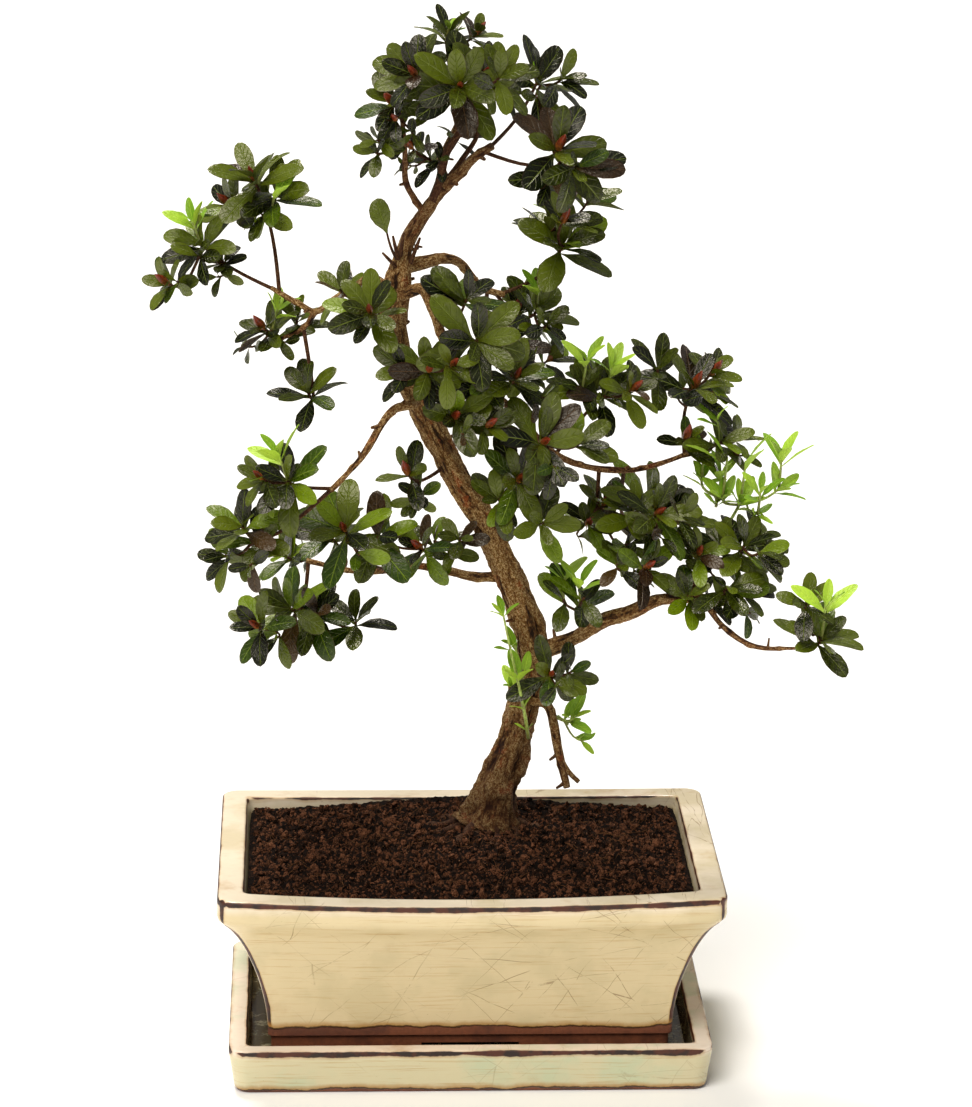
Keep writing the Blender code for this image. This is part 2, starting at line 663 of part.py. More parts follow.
# ==== foliage ==============================================================================
class Shoot(NamedTuple):
    """The leafy end of a twig: its place, the way it points, and the length of its leaves."""

    tip: Vector
    axis: Vector
    leaf: float
    turn: float


def outward(point):
    """Return the level direction from the trunk's line to a point."""
    height = point.z
    near = min(TRUNK_ROUTE, key=lambda knot: abs(knot[2] - height))
    away = Vector((point.x - near[0], point.y - near[1], 0.0))
    return away.normalized() if away.length > 1.0 else Vector((0.0, -1.0, 0.0))


def mass_shoots(mass, seed):
    """Spread a mass's shoots from its heart by the golden angle."""
    chance = random.Random(seed)
    heart = Vector(mass.heart)
    shoots = []
    for i in range(mass.shoots):
        share = i / max(1, mass.shoots - 1)
        angle = math.radians(mass.turn) + i * GOLDEN_TURN
        step = Vector((
            mass.spread[0] * math.sqrt(share) * math.cos(angle),
            mass.spread[1] * math.sqrt(share) * math.sin(angle),
            -mass.spread[2] * share + chance.uniform(-SHOOT_DRIFT, SHOOT_DRIFT)))
        tip = heart + step
        away = outward(tip) * OUTWARD_PULL + step.normalized() * SPREAD_PULL + LIGHT
        size = mass.leaf * (1.0 if i == 0 else SIDE_SHOOT * chance.uniform(*SIDE_VARIATION))
        shoots.append(Shoot(tip, away.normalized(), size, chance.uniform(0.0, 2.0 * math.pi)))
    return shoots


def grow_twig(root, shoot, width, parts):
    """Return wood that leaves a root sideways and turns along the shoot's axis."""
    length = (shoot.tip - root).length
    bend = shoot.tip - shoot.axis * (TWIG_BEND * length)
    middle = root.lerp(bend, TWIG_LEAN)
    points = interpolate_bezier(root, middle, bend, shoot.tip, parts + 1)
    radii = [width_at((width, TWIG_WIDTH), i / parts) / 2 for i in range(parts + 1)]
    return Wood(points, radii, TWIG_SIDES)


def point_below_tip(wood, distance):
    """Return the point on a centre line at a distance back from its tip."""
    for near, far in zip(reversed(wood.points), reversed(wood.points[:-1])):
        length = (near - far).length
        if distance <= length:
            return near.lerp(far, distance / length)
        distance -= length
    return wood.points[0]


class Leaf(NamedTuple):
    """The corners of one leaf: root, widest pair, blunt tip pair, and the top of its rib."""

    root: Vector
    sides: tuple
    tips: tuple
    ridge: Vector


def place_leaf(shoot, twig, index, count, swing):
    """Place one leaf on the end of its twig, by the golden angle and then a swing."""
    side_way = shoot.axis.orthogonal().normalized()
    other_way = shoot.axis.cross(side_way)
    angle = shoot.turn + index * GOLDEN_TURN + math.radians(swing)
    radial = side_way * math.cos(angle) + other_way * math.sin(angle)
    tilt = math.radians(width_at(LEAF_TILTS, index / (count - 1)))
    along = shoot.axis * math.cos(tilt) + radial * math.sin(tilt)
    normal = shoot.axis * math.sin(tilt) - radial * math.cos(tilt)
    across = along.cross(normal) * (0.5 * LEAF_WIDTH * shoot.leaf)
    root = point_below_tip(twig, LEAF_SPACING * (count - index - 0.5)) - along * LEAF_SINK
    widest = root + along * (LEAF_WIDEST * shoot.leaf)
    tip = root + along * shoot.leaf
    ridge = root + along * (LEAF_RIDGE * shoot.leaf) + normal * LEAF_THICKNESS
    return Leaf(root, (widest + across, widest - across),
                (tip + across * LEAF_BLUNT, tip - across * LEAF_BLUNT), ridge)


def leaf_samples(leaf):
    """Return points all over a leaf, close enough together to feel wood that touches it."""
    samples = []
    for share in (0.0, 0.25, 0.5, 0.75, 1.0):
        wide = leaf.sides[0].lerp(leaf.sides[1], share)
        tip = leaf.tips[0].lerp(leaf.tips[1], share)
        samples += [wide, tip, wide.lerp(tip, 0.5)]
        samples += [leaf.root.lerp(wide, 0.7), leaf.root.lerp(wide, 0.4)]
    return samples


class Space:
    """The spaces of all masses: convex cells, split between each pair of neighbours."""

    def __init__(self, masses):
        self.centres = [Vector(mass.heart) + LIGHT * (HEART_LIFT * mass.leaf) for mass in masses]
        self.weights = [self.size(mass) ** 2 for mass in masses]

    @staticmethod
    def size(mass):
        """Return the radius that a mass would fill if it stood alone."""
        return sum(abs(reach) for reach in mass.spread) / 4.0 + CELL_LEAF * mass.leaf

    def holds(self, index, points):
        """Tell whether points lie in one mass's own cell, clear of its bounds."""
        centre = self.centres[index]
        weight = self.weights[index]
        for other, other_weight in zip(self.centres, self.weights):
            if other is centre:
                continue
            margin = 2.0 * CELL_MARGIN * (other - centre).length
            for point in points:
                own = (point - centre).length_squared - weight
                theirs = (point - other).length_squared - other_weight
                if own + margin > theirs:
                    return False
        return True


def clear_of(points, woods, reach):
    """Tell whether points keep the wood margin to every piece of wood."""
    for wood in woods:
        for point in points:
            place, distance = nearest_place(wood, point)
            radius = width_at(wood.radii, place / (len(wood.points) - 1))
            if distance < radius + reach:
                return False
    return True


class Growth(NamedTuple):
    """What grows in one mass: its twigs, stem first, and its leaves."""

    twigs: list
    leaves: list


def leaf_blade(leaf):
    """Return a search tree of a leaf's blade, to find the leaves that it would cross."""
    outline = [leaf.root, leaf.sides[0], leaf.tips[0], leaf.tips[1], leaf.sides[1]]
    return BVHTree.FromPolygons(outline, [(0, 1, 2, 3, 4)])


class LeafRoom:
    """What the leaves of one mass have to keep clear of."""

    def __init__(self, index, space, obstacles):
        self.index = index
        self.space = space
        self.obstacles = obstacles
        self.blades = []

    def fits_twig(self, twig):
        """Tell whether a twig stays in its mass's space and clear of other wood."""
        points = twig.points[1:]
        points += [near.lerp(far, 0.5) for near, far in zip(twig.points, points)]
        inside = self.space.holds(self.index, points)
        return inside and clear_of(points, self.obstacles, WOOD_MARGIN + TWIG_WIDTH / 2)

    def fits_leaf(self, leaf, own_twigs):
        """Tell whether a leaf stays in its space and clear of wood and of earlier leaves."""
        if not self.space.holds(self.index, (leaf.root, *leaf.sides, *leaf.tips, leaf.ridge)):
            return False
        samples = leaf_samples(leaf)
        if not clear_of(samples, self.obstacles, WOOD_MARGIN + LEAF_SAMPLING):
            return False
        if not clear_of(samples, own_twigs, WOOD_MARGIN):
            return False
        blade = leaf_blade(leaf)
        if any(blade.overlap(other) for other in self.blades):
            return False
        self.blades.append(blade)
        return True


def grow_mass(mass, shoots, stem, room):
    """Grow the twigs and leaves of one mass, without those that would leave its space."""
    twigs = [stem]
    leafy = [(shoots[0], stem)]
    for shoot in shoots[1:]:
        wood = min(twigs, key=lambda twig: nearest_place(twig, shoot.tip)[1])
        twig = grow_twig(spring_point(wood, shoot.tip), shoot, TWIG_WIDTH, TWIG_PARTS)
        if room.fits_twig(twig):
            twigs.append(twig)
            leafy.append((shoot, twig))
    leaves = []
    count = ROSETTE_LEAVES if mass.leaf >= LARGE_LEAF else ROSETTE_LEAVES - 1
    for shoot, twig in leafy:
        for number in range(count):
            for swing in LEAF_SWINGS:
                leaf = place_leaf(shoot, twig, number, count, swing)
                if room.fits_leaf(leaf, twigs):
                    leaves.append(leaf)
                    break
    return Growth(twigs, leaves)


def make_leaf(leaf, collection):
    """Make one leaf as the convex solid of its corners."""
    bm = bmesh.new()
    for corner in (leaf.root, *leaf.sides, *leaf.tips, leaf.ridge):
        bm.verts.new(corner * MM)
    bmesh.ops.convex_hull(bm, input=bm.verts)
    return add_mesh("leaf", bm, collection)


def make_mass(mass, growth, near_wood, collection):
    """Fuse a mass's twigs and leaves into one body, and cut it clear of the wood it meets."""
    parts = bpy.data.collections.new("parts")
    collection.children.link(parts)
    for twig in growth.twigs[1:]:
        tube("twig", twig, parts)
    for leaf in growth.leaves:
        make_leaf(leaf, parts)
    item = tube("foliage_" + mass.name, growth.twigs[0], collection)
    modifier = item.modifiers.new("fuse", "BOOLEAN")
    modifier.operation = "UNION"
    modifier.operand_type = "COLLECTION"
    modifier.collection = parts
    modifier.solver = "EXACT"
    apply_modifiers(item)
    for part in list(parts.objects):
        bpy.data.objects.remove(part, do_unlink=True)
    bpy.data.collections.remove(parts)
    keep_largest(item)
    cut_clear(item, growth.twigs[0], near_wood, collection)
    finish_piece(item, FOLIAGE)


def main():
    """Build the whole plant with its pot, tray and soil."""
    clear_scene()
    collection = new_collection("azalea_bonsai")
    make_tray(collection)
    make_pot(collection)
    make_soil(collection)
    woods = {"trunk": make_trunk(collection)}
    for bough in BOUGHS:
        woods[bough.name] = make_bough(bough, woods, collection)
    space = Space(MASSES)
    shoots = [mass_shoots(mass, seed) for seed, mass in enumerate(MASSES)]
    stems = []
    for mass, mass_tips in zip(MASSES, shoots):
        root = spring_point(woods[mass.parent], mass_tips[0].tip, stems)
        stems.append(grow_twig(root, mass_tips[0], STEM_WIDTH, STEM_PARTS))
    boughs = list(woods.values())
    for index, mass in enumerate(MASSES):
        obstacles = boughs + [stem for stem in stems if stem is not stems[index]]
        room = LeafRoom(index, space, obstacles)
        growth = grow_mass(mass, shoots[index], stems[index], room)
        make_mass(mass, growth, boughs + stems[:index], collection)


if __name__ == "__main__":
    main()
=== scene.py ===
"""Looks of an azalea bonsai in a glazed pot on its drip tray.

Lengths are in millimetres and turn into metres as the meshes are made. The origin is the middle
of the tray's underside, +X is the tree's right, +Y its back and +Z is up.

The limbs, stems and shoots follow the rules of the part's source: a shoot springs from the
nearest wood, a little below the nearest point, and rosettes of leaves turn by the golden angle.
"""
import json
import logging
import math
import random
from dataclasses import dataclass, field
from enum import Enum
from typing import Iterable, NamedTuple, Optional, Sequence

import bmesh
import bpy
from mathutils import Euler, Matrix, Vector, noise
from mathutils.bvhtree import BVHTree
from mathutils.geometry import interpolate_bezier

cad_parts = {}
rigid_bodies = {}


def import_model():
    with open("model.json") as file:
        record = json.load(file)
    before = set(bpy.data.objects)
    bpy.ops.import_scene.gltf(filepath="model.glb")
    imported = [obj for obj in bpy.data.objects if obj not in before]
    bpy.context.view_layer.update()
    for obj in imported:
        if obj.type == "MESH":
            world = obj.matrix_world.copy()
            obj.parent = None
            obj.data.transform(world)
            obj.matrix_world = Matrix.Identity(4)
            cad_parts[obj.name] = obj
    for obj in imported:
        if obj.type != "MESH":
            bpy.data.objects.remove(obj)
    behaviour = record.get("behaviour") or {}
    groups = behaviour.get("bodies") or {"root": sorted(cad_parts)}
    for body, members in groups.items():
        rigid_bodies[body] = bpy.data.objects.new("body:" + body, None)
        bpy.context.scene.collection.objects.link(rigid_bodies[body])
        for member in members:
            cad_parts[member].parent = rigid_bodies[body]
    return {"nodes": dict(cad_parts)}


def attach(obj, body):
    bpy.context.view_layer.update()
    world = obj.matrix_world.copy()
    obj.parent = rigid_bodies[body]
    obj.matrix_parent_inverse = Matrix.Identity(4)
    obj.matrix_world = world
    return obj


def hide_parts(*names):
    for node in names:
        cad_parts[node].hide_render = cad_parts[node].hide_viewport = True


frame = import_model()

LOG = logging.getLogger("azalea")
BMesh = bmesh.types.BMesh
Mesh = bpy.types.Mesh
Material = bpy.types.Material
Piece = bpy.types.Object
Colour = tuple[float, float, float, float]
Point = tuple[float, float, float]

MM = 0.001
GOLDEN_TURN = math.pi * (3.0 - math.sqrt(5.0))
LIGHT = Vector((0.0, -0.45, 0.8))     # the shoots turn up and towards the tree's front


def shade(*channels: int) -> Colour:
    """Turn a screen colour of 0 to 255 a channel into a linear one."""
    parts = [channel / 255.0 for channel in channels]
    return (*(part / 12.92 if part <= 0.04045 else ((part + 0.055) / 1.055) ** 2.4
              for part in parts), 1.0)


def blend(low: float, high: float, share: float) -> float:
    """Return the value at a share of the way from low to high."""
    return low + (high - low) * share


def clamp(value: float, low: float = 0.0, high: float = 1.0) -> float:
    """Keep a value between two limits."""
    return max(low, min(high, value))


def width_at(widths: Sequence[float], share: float) -> float:
    """Read a width from a row of widths that are spread evenly over a length."""
    place = share * (len(widths) - 1)
    index = min(int(place), len(widths) - 2)
    return blend(widths[index], widths[index + 1], place - index)


# ==== node paint ===========================================================================
class Field:
    """A number, vector or colour that varies over a surface: one output of a node.

    Args:
        paint: material that the node belongs to.
        socket: output of the node.
    """

    def __init__(self, paint: "Paint", socket: bpy.types.NodeSocket) -> None:
        self.paint = paint
        self.socket = socket

    def maths(self, operation: str, other: object = 0.0) -> "Field":
        """Return this value and another one put through a maths node."""
        return self.paint.node("Math", {0: self, 1: other}, operation=operation)

    def __add__(self, other: object) -> "Field":
        """Return the sum."""
        return self.maths("ADD", other)

    def __sub__(self, other: object) -> "Field":
        """Return the difference."""
        return self.maths("SUBTRACT", other)

    def __mul__(self, other: object) -> "Field":
        """Return the product."""
        return self.maths("MULTIPLY", other)

    def peak(self, other: object) -> "Field":
        """Return the larger of this value and another one."""
        return self.maths("MAXIMUM", other)

    def step(self, low: float, high: float) -> "Field":
        """Return a smooth step of this value, 0 at low and 1 at high; low may be the larger."""
        start, end = (0.0, 1.0) if low < high else (1.0, 0.0)
        return self.paint.node("MapRange", {0: self, 1: min(low, high), 2: max(low, high),
                                            3: start, 4: end}, interpolation_type="SMOOTHSTEP")

    def between(self, first: object, second: object) -> "Field":
        """Return the mix of two colours, or of two numbers, by this share."""
        if isinstance(first, float):
            return self.paint.node("Mix", {0: self, 2: first, 3: second}, data_type="FLOAT")
        return self.paint.node("Mix", {0: self, 6: first, 7: second}, 2, data_type="RGBA")

    def part(self, index: int) -> "Field":
        """Return one component of this vector."""
        return self.paint.node("SeparateXYZ", {0: self}, index)

    def mapped(self, scale: Point = (1.0, 1.0, 1.0), turn: float = 0.0) -> "Field":
        """Return this vector scaled, then turned about Y by an angle in degrees."""
        return self.paint.node("Mapping", {"Vector": self, "Scale": scale,
                                           "Rotation": (0.0, math.radians(turn), 0.0)})

    def cloud(self, scale: float, detail: float = 3.0, roughness: float = 0.55,
              distortion: float = 0.0) -> "Field":
        """Return a noise texture's value over this vector."""
        return self.paint.node("TexNoise", {
            "Vector": self, "Scale": scale, "Detail": detail, "Roughness": roughness,
            "Distortion": distortion}, "Fac")

    def wandered(self, scale: float, amount: float) -> "Field":
        """Return this vector moved about by a noise texture, by up to about half an amount."""
        drift = self.paint.node("TexNoise", {"Vector": self, "Scale": scale}, "Color")
        return self.paint.node("VectorMath", {0: drift, 1: (amount, amount, amount), 2: self},
                               operation="MULTIPLY_ADD")

    def cracks(self) -> "Field":
        """Return the distance to the nearest edge of a Voronoi texture's cells of size 1."""
        return self.paint.node("TexVoronoi", {"Vector": self, "Scale": 1.0}, "Distance",
                               feature="DISTANCE_TO_EDGE")


class Paint:
    """The node tree of one material, built one node at a time.

    Args:
        name: name of the material.
        roughness: roughness of the bare shader.
    """

    def __init__(self, name: str, roughness: float = 0.5) -> None:
        self.material = bpy.data.materials.new(name)
        self.material.use_nodes = True
        self.tree = self.material.node_tree
        self.dress(Roughness=roughness)

    def put(self, socket: bpy.types.NodeSocket, value: object) -> None:
        """Link or set one input socket."""
        if isinstance(value, Field):
            self.tree.links.new(value.socket, socket)
        else:
            socket.default_value = value

    def node(self, kind: str, inputs: dict, output: object = 0, **settings: object) -> Field:
        """Add a node and return one of its outputs.

        Args:
            kind: kind of node.
            inputs: what goes into its sockets, by number or name.
            output: number or name of the output.
            settings: its settings, by attribute name.

        Returns:
            The output.
        """
        made = self.tree.nodes.new("ShaderNode" + kind)
        for key, value in settings.items():
            setattr(made, key, value)
        for key, value in inputs.items():
            self.put(made.inputs[key], value)
        return Field(self, made.outputs[output])

    def place(self) -> Field:
        """Return object coordinates in millimetres."""
        return self.node("TexCoord", {}, "Object").mapped((1000.0, 1000.0, 1000.0))

    def attribute(self, name: str, output: str = "Fac") -> Field:
        """Return an output of a named attribute of the mesh."""
        return self.node("Attribute", {}, output, attribute_name=name)

    def blade_map(self) -> Field:
        """Return the UV map that runs across and along a blade."""
        return self.node("UVMap", {}, "UV", uv_map="blade")

    def coats(self, ground: Field, *coats: tuple) -> None:
        """Set the shader's colour: a ground, with each coat's share and colour laid over it."""
        for share, colour in coats:
            ground = share.between(ground, colour)
        self.dress(Base_Color=ground)

    def bump(self, height: Field, distance: float, strength: float = 1.0) -> None:
        """Link a bump of a height, in millimetres, to the shader's normal."""
        self.dress(Normal=self.node("Bump", {"Height": height, "Distance": distance * MM,
                                             "Strength": strength}, "Normal"))

    def dress(self, **inputs: object) -> None:
        """Link or set the shader's inputs, whose names have underscores for spaces."""
        for name, value in inputs.items():
            self.put(self.tree.nodes["Principled BSDF"].inputs[name.replace("_", " ")], value)


@dataclass(frozen=True)
class Glaze:
    """Cream glaze, finely scratched, that breaks dark along edges and stops above bare clay.

    Args:
        name: name of the material.
        body: colour of the glaze on the walls.
        pale: paler colour on the upper rim band and the rim's top, painted light and painted
            highlight where they face the lamps.
        lit_top_from: height where that painted light begins, in millimetres.
        line: height where the glaze stops, in millimetres.
        line_waver: how far that line wanders.
        scratches: strength of the hair lines.
        tinge: colour of the faint cloudy stains.
        tinge_share: strength of those stains.
        burnt: colour of the glaze where it breaks along edges.
        scorched: darkest colour of those edges.
        clay: colours of the bare clay: fresh, gritty and sooty.
        stain: colour of streaks and of the halo round the edges.
        hair: colour of hair lines and specks.
        moat_shade_colour: colour of the painted shade on the tray's walls inside, under the pot.
    """

    name: str
    body: Colour
    pale: Colour
    lit_top_from: float
    line: float
    line_waver: float
    scratches: float
    tinge: Colour
    tinge_share: float
    burnt: Colour = shade(78, 34, 14)
    scorched: Colour = shade(38, 18, 10)
    clay: tuple = (shade(146, 84, 52), shade(96, 50, 30), shade(58, 30, 24))
    stain: Colour = shade(176, 124, 44)
    hair: Colour = shade(120, 78, 36)
    moat_shade_colour: Colour = shade(66, 52, 30)

    def hair_lines(self, place: Field, turn: float) -> Field:
        """Return thin straight hair lines that run across the walls at an angle."""
        stretched = place.wandered(0.03, 7.0).mapped(turn=turn).mapped((0.007, 0.006, 0.055))
        return stretched.cracks().step(0.0070, 0.0015) * place.cloud(0.05, 5.0, 0.7).step(
            0.44, 0.56)

    def paint(self) -> Material:
        """Build the material."""
        paint = Paint(self.name)
        place = paint.place()
        height = place.part(2)
        combed = place.mapped((0.035, 0.035, 1.0)).cloud(0.9, 4.0, 0.65)
        lines = self.hair_lines(place, 52.0).peak(self.hair_lines(place, -44.0)).peak(
            self.hair_lines(place, 8.0))
        where = (place.part(0) * 0.0012 + place.cloud(0.02, 2.0)).step(0.40, 0.62)
        hairs = lines * where * self.scratches
        worn = paint.attribute("edge") + place.cloud(0.07, 4.0, 0.55) * 0.9
        breaks = worn.step(0.88, 1.02)
        above = height - (place.cloud(0.04, 5.0, 0.6) * self.line_waver + self.line)
        bare = above.step(0.25, -0.25)
        # painted shade: dark streaks on the tray's walls inside, under the pot's overhang
        moat_shade = place.mapped((1.0, 1.0, 0.25)).cloud(0.12, 4.0, 0.7).step(0.20, 0.50)
        clay = (place.cloud(0.05, 3.0).step(0.45, 0.62) * 0.5).between(
            place.cloud(0.7, 4.0).between(self.clay[0], self.clay[1]), self.clay[2])
        paint.coats(
            # painted light: paler glaze from the upper rim band over the rim's top, with painted
            # highlight
            height.step(self.lit_top_from - 4.0, self.lit_top_from + 1.0).between(self.body, self.pale),
            (place.cloud(0.03, 4.0).step(0.46, 0.66) * self.tinge_share, self.tinge),
            (combed.step(0.52, 0.74) * 0.42, self.stain),
            (place.cloud(0.8, 2.0).step(0.72, 0.80) * 0.35, self.hair), (hairs, self.hair),
            (worn.step(0.55, 0.95) * 0.45, self.stain),
            (breaks, place.cloud(0.11, 3.0).step(0.42, 0.60).between(self.burnt, self.scorched)),
            (above.step(4.2, 0.6) * 0.85, self.stain),
            (above.step(1.2, 0.6) * 0.92, self.scorched),
            # painted shade on the tray's walls inside, under the pot
            (paint.attribute("well") * moat_shade * 0.93, self.moat_shade_colour), (bare, clay))
        paint.dress(Roughness=bare.peak(breaks * 0.7).between(0.22, 0.62))
        paint.bump(place.cloud(0.09, 2.0) * 0.7 + hairs * -0.15 + bare * -0.35 + combed * 0.18,
                   0.9, 0.5)
        return paint.material


@dataclass(frozen=True)
class Earth:
    """Moist dark soil, or the browner crumbs and fibres that lie on it."""

    name: str
    dark: Colour
    light: Colour
    fleck: Colour = shade(122, 70, 42)

    def paint(self) -> Material:
        """Build the material."""
        paint = Paint(self.name, 0.95)
        place = paint.place()
        lumps = place.cloud(0.22, 6.0, 0.7)
        grain = place.cloud(1.3, 4.0, 0.6)
        paint.coats((lumps + paint.attribute("tone") * 0.40).step(0.48, 0.86).between(
            self.dark, self.light), (grain.step(0.60, 0.74), self.fleck),
            (grain.step(0.50, 0.38), self.dark))
        paint.dress(Specular_IOR_Level=0.12)
        paint.bump(grain + lumps * 2.0, 1.0)
        return paint.material


@dataclass(frozen=True)
class Bark:
    """Thin bark that follows the limb: fissured lengthwise, with pale flecks and red peels, and
    darker in its hollows, partly by painted shade.
    """

    name: str
    deep: Colour
    main: Colour
    fleck: Colour
    peel: Colour
    crown_shade: Colour = shade(66, 34, 18)
    foot_darkening: Colour = shade(52, 22, 8)

    def paint(self) -> Material:
        """Build the material."""
        paint = Paint(self.name, 0.8)
        height = paint.place().part(2)
        grain = paint.attribute("grain", "Vector")
        drawn = grain.mapped((1.0, 1.0, 0.6))
        ridges = grain.mapped((1.0, 1.0, 0.32)).cloud(0.60, 6.0, 0.70, 0.8)
        flakes = drawn.cloud(1.05, 5.0, 0.75)
        specks = grain.cloud(1.9, 3.0, 0.7)
        # the deep colour in the hollows is partly the fissures' own dark bark and partly painted
        # shade
        hollow_shade_relief = ridges + paint.attribute("ridge") * 1.6
        flecks = (flakes * 0.6 + specks * 0.5).step(0.525, 0.62) * hollow_shade_relief.step(0.34, 0.56)
        nicks = flakes.step(0.44, 0.36).peak(specks.step(0.43, 0.36))
        paint.coats(hollow_shade_relief.step(0.24, 0.48).between(self.deep, self.main),
                    (drawn.cloud(0.13, 4.0, 0.62).step(0.56, 0.64) * 0.8, self.peel),
                    (flecks * 0.9, self.fleck), (nicks * 0.8, self.deep),
                    (height.step(404.0, 424.0) * 0.45, self.crown_shade),
                    # darker towards the trunk's foot, below about 190 mm
                    (height.step(190.0, 108.0) * 0.62, self.foot_darkening))
        paint.dress(Roughness=flecks.between(0.85, 0.55), Specular_IOR_Level=0.2)
        paint.bump(ridges + flakes * 0.7, 2.0)
        return paint.material


@dataclass(frozen=True)
class LeafSkin:
    """One side of a leaf: veins, margin and base follow the blade's own UV map.

    Args:
        name: name of the material.
        dark: colour of the darkest leaves.
        light: colour of the lightest leaves.
        vein: colour of midrib and veins.
        base: colour at the foot of the blade.
        margin: colour of the very edge.
        gloss: roughness of the skin.
        vein_strength: how far the veins show.
        shine: specular level of the skin.
    """

    name: str
    dark: Colour
    light: Colour
    vein: Colour
    base: Colour
    margin: Colour
    gloss: float
    vein_strength: float
    shine: float

    def paint(self) -> Material:
        """Build the material."""
        paint = Paint(self.name)
        place = paint.place()
        along = paint.blade_map().part(1)
        side = (paint.blade_map().part(0) - 0.5).maths("ABSOLUTE") * 2.0
        mottle = place.cloud(0.35, 4.0, 0.6)
        tone = paint.attribute("tone") + (mottle - 0.5) * 0.7
        row = (along * 6.5 - side * 1.6).maths("FRACT")
        vein = (row - 0.5).maths("ABSOLUTE").step(0.10, 0.0) * side.step(0.92, 0.55)
        lines = side.step(0.085, 0.015).peak(vein * 0.55)
        paint.coats(tone.step(0.05, 0.95).between(self.dark, self.light),
                    (along.step(0.26, 0.0), self.base), (lines * self.vein_strength, self.vein),
                    (side.step(0.90, 0.99) * 0.8, self.margin))
        paint.dress(Roughness=mottle.between(self.gloss - 0.06, self.gloss + 0.16),
                    Specular_IOR_Level=self.shine, Specular_Tint=(1.0, 0.93, 0.80, 1.0))
        paint.bump(mottle * 0.6 + lines * -1.1 + place.cloud(0.9, 2.0) * 0.6, 0.7, 0.7)
        return paint.material


@dataclass(frozen=True)
class Sprout:
    """The skin of a bud or a young stem, which fades from its foot to its tip.

    Args:
        name: name of the material.
        foot: colour at the foot.
        tip: colour at the tip.
        rough: roughness of the skin.
        streak: colour of the darker streaks along it.
        length: length over which a stem's colour fades, or 0 where a UV map tells it.
    """

    name: str
    foot: Colour
    tip: Colour
    rough: float
    streak: Colour
    length: float = 0.0

    def paint(self) -> Material:
        """Build the material."""
        paint = Paint(self.name, self.rough)
        place = paint.place()
        if self.length:
            along = paint.attribute("grain", "Vector").part(2) * (1.0 / self.length)
        else:
            along = paint.blade_map().part(1)
        mottle = place.cloud(0.8)
        streaks = place.mapped((1.0, 1.0, 0.4)).cloud(1.0, 3.0, 0.7)
        paint.coats((along + mottle * 0.4).step(0.25, 0.95).between(self.foot, self.tip),
                    (streaks.step(0.54, 0.40) * 0.75, self.streak))
        paint.bump(mottle + streaks, 0.4, 0.6)
        return paint.material


# ==== pieces ===============================================================================
def to_mesh(bm: BMesh, name: str) -> Mesh:
    """Turn a bmesh into a mesh, and free it."""
    mesh = bpy.data.meshes.new(name)
    bm.to_mesh(mesh)
    bm.free()
    return mesh


def add_object(name: str, data: object) -> Piece:
    """Put a mesh, a lamp or a camera into the scene."""
    made = bpy.data.objects.new(name, data)
    bpy.context.scene.collection.objects.link(made)
    return made


def settle(name: str, bm: BMesh, finishes: Sequence[object],
           replaced: Iterable[str] = (), sharp: float = 0.0) -> Piece:
    """Turn a finished bmesh into a piece of the object.

    Args:
        name: name of the piece.
        bm: mesh in millimetres, which is freed.
        finishes: finish of each material index.
        replaced: nodes that the piece stands for.
        sharp: angle in radians beyond which an edge stays sharp, or 0 for none.

    Returns:
        The piece.
    """
    bmesh.ops.scale(bm, vec=(MM, MM, MM), verts=bm.verts)
    mesh = to_mesh(bm, name)
    mesh.shade_smooth()
    if sharp > 0.0:
        mesh.set_sharp_from_angle(angle=sharp)
    for finish in finishes:
        mesh.materials.append(finish.paint())
    piece = add_object(name, mesh)
    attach(piece, "root")
    if replaced:
        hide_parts(*replaced)
    LOG.info("%s: %d faces", name, len(mesh.polygons))
    return piece


def layer(kind: object, name: str) -> object:
    """Return a layer of values by name, made if it isn't there yet."""
    return kind.get(name) or kind.new(name)


def members(geometry: Iterable[object], kind: type) -> list:
    """Return the points, edges or faces among what an operator made."""
    return [item for item in geometry if isinstance(item, kind)]


class Skin:
    """A surface that grows by extruding one closed ring of edges again and again.

    Args:
        bm: mesh that it grows in.
        count: number of points in each ring.
    """

    def __init__(self, bm: BMesh, count: int) -> None:
        self.bm = bm
        self.order = layer(bm.verts.layers.int, "order")
        self.verts = bmesh.ops.create_circle(bm, segments=count, radius=1.0)["verts"]
        for index, vert in enumerate(self.verts):
            vert[self.order] = index
        self.edges = list({edge for vert in self.verts for edge in vert.link_edges})
        self.begun = False

    def ring(self, points: Sequence[Sequence[float]]) -> list[bmesh.types.BMVert]:
        """Move the first ring to its place, or extrude the last ring to the next place."""
        if self.begun:
            grown = bmesh.ops.extrude_edge_only(self.bm, edges=self.edges)["geom"]
            self.verts = members(grown, bmesh.types.BMVert)
            self.edges = [edge for edge in members(grown, bmesh.types.BMEdge)
                          if all(vert in set(self.verts) for vert in edge.verts)]
            self.verts.sort(key=lambda vert: vert[self.order])
        self.begun = True
        for vert, point in zip(self.verts, points):
            vert.co = point
        return self.verts

    def close(self) -> None:
        """Close the last ring with a face."""
        bmesh.ops.contextual_create(self.bm, geom=self.edges)


# ==== pot and tray =========================================================================
CORNER_STEPS = 6
SIDE_STEPS = 14
RIM_SHARP = 0.6                       # angle beyond which an edge of the glaze stays sharp
Rows = list[tuple[float, float]]


def bell(across: float, along: float, reach: float) -> float:
    """Return 1 at no distance, falling smoothly to nothing well past a reach."""
    return math.exp(-(math.hypot(across, along) / reach) ** 2)


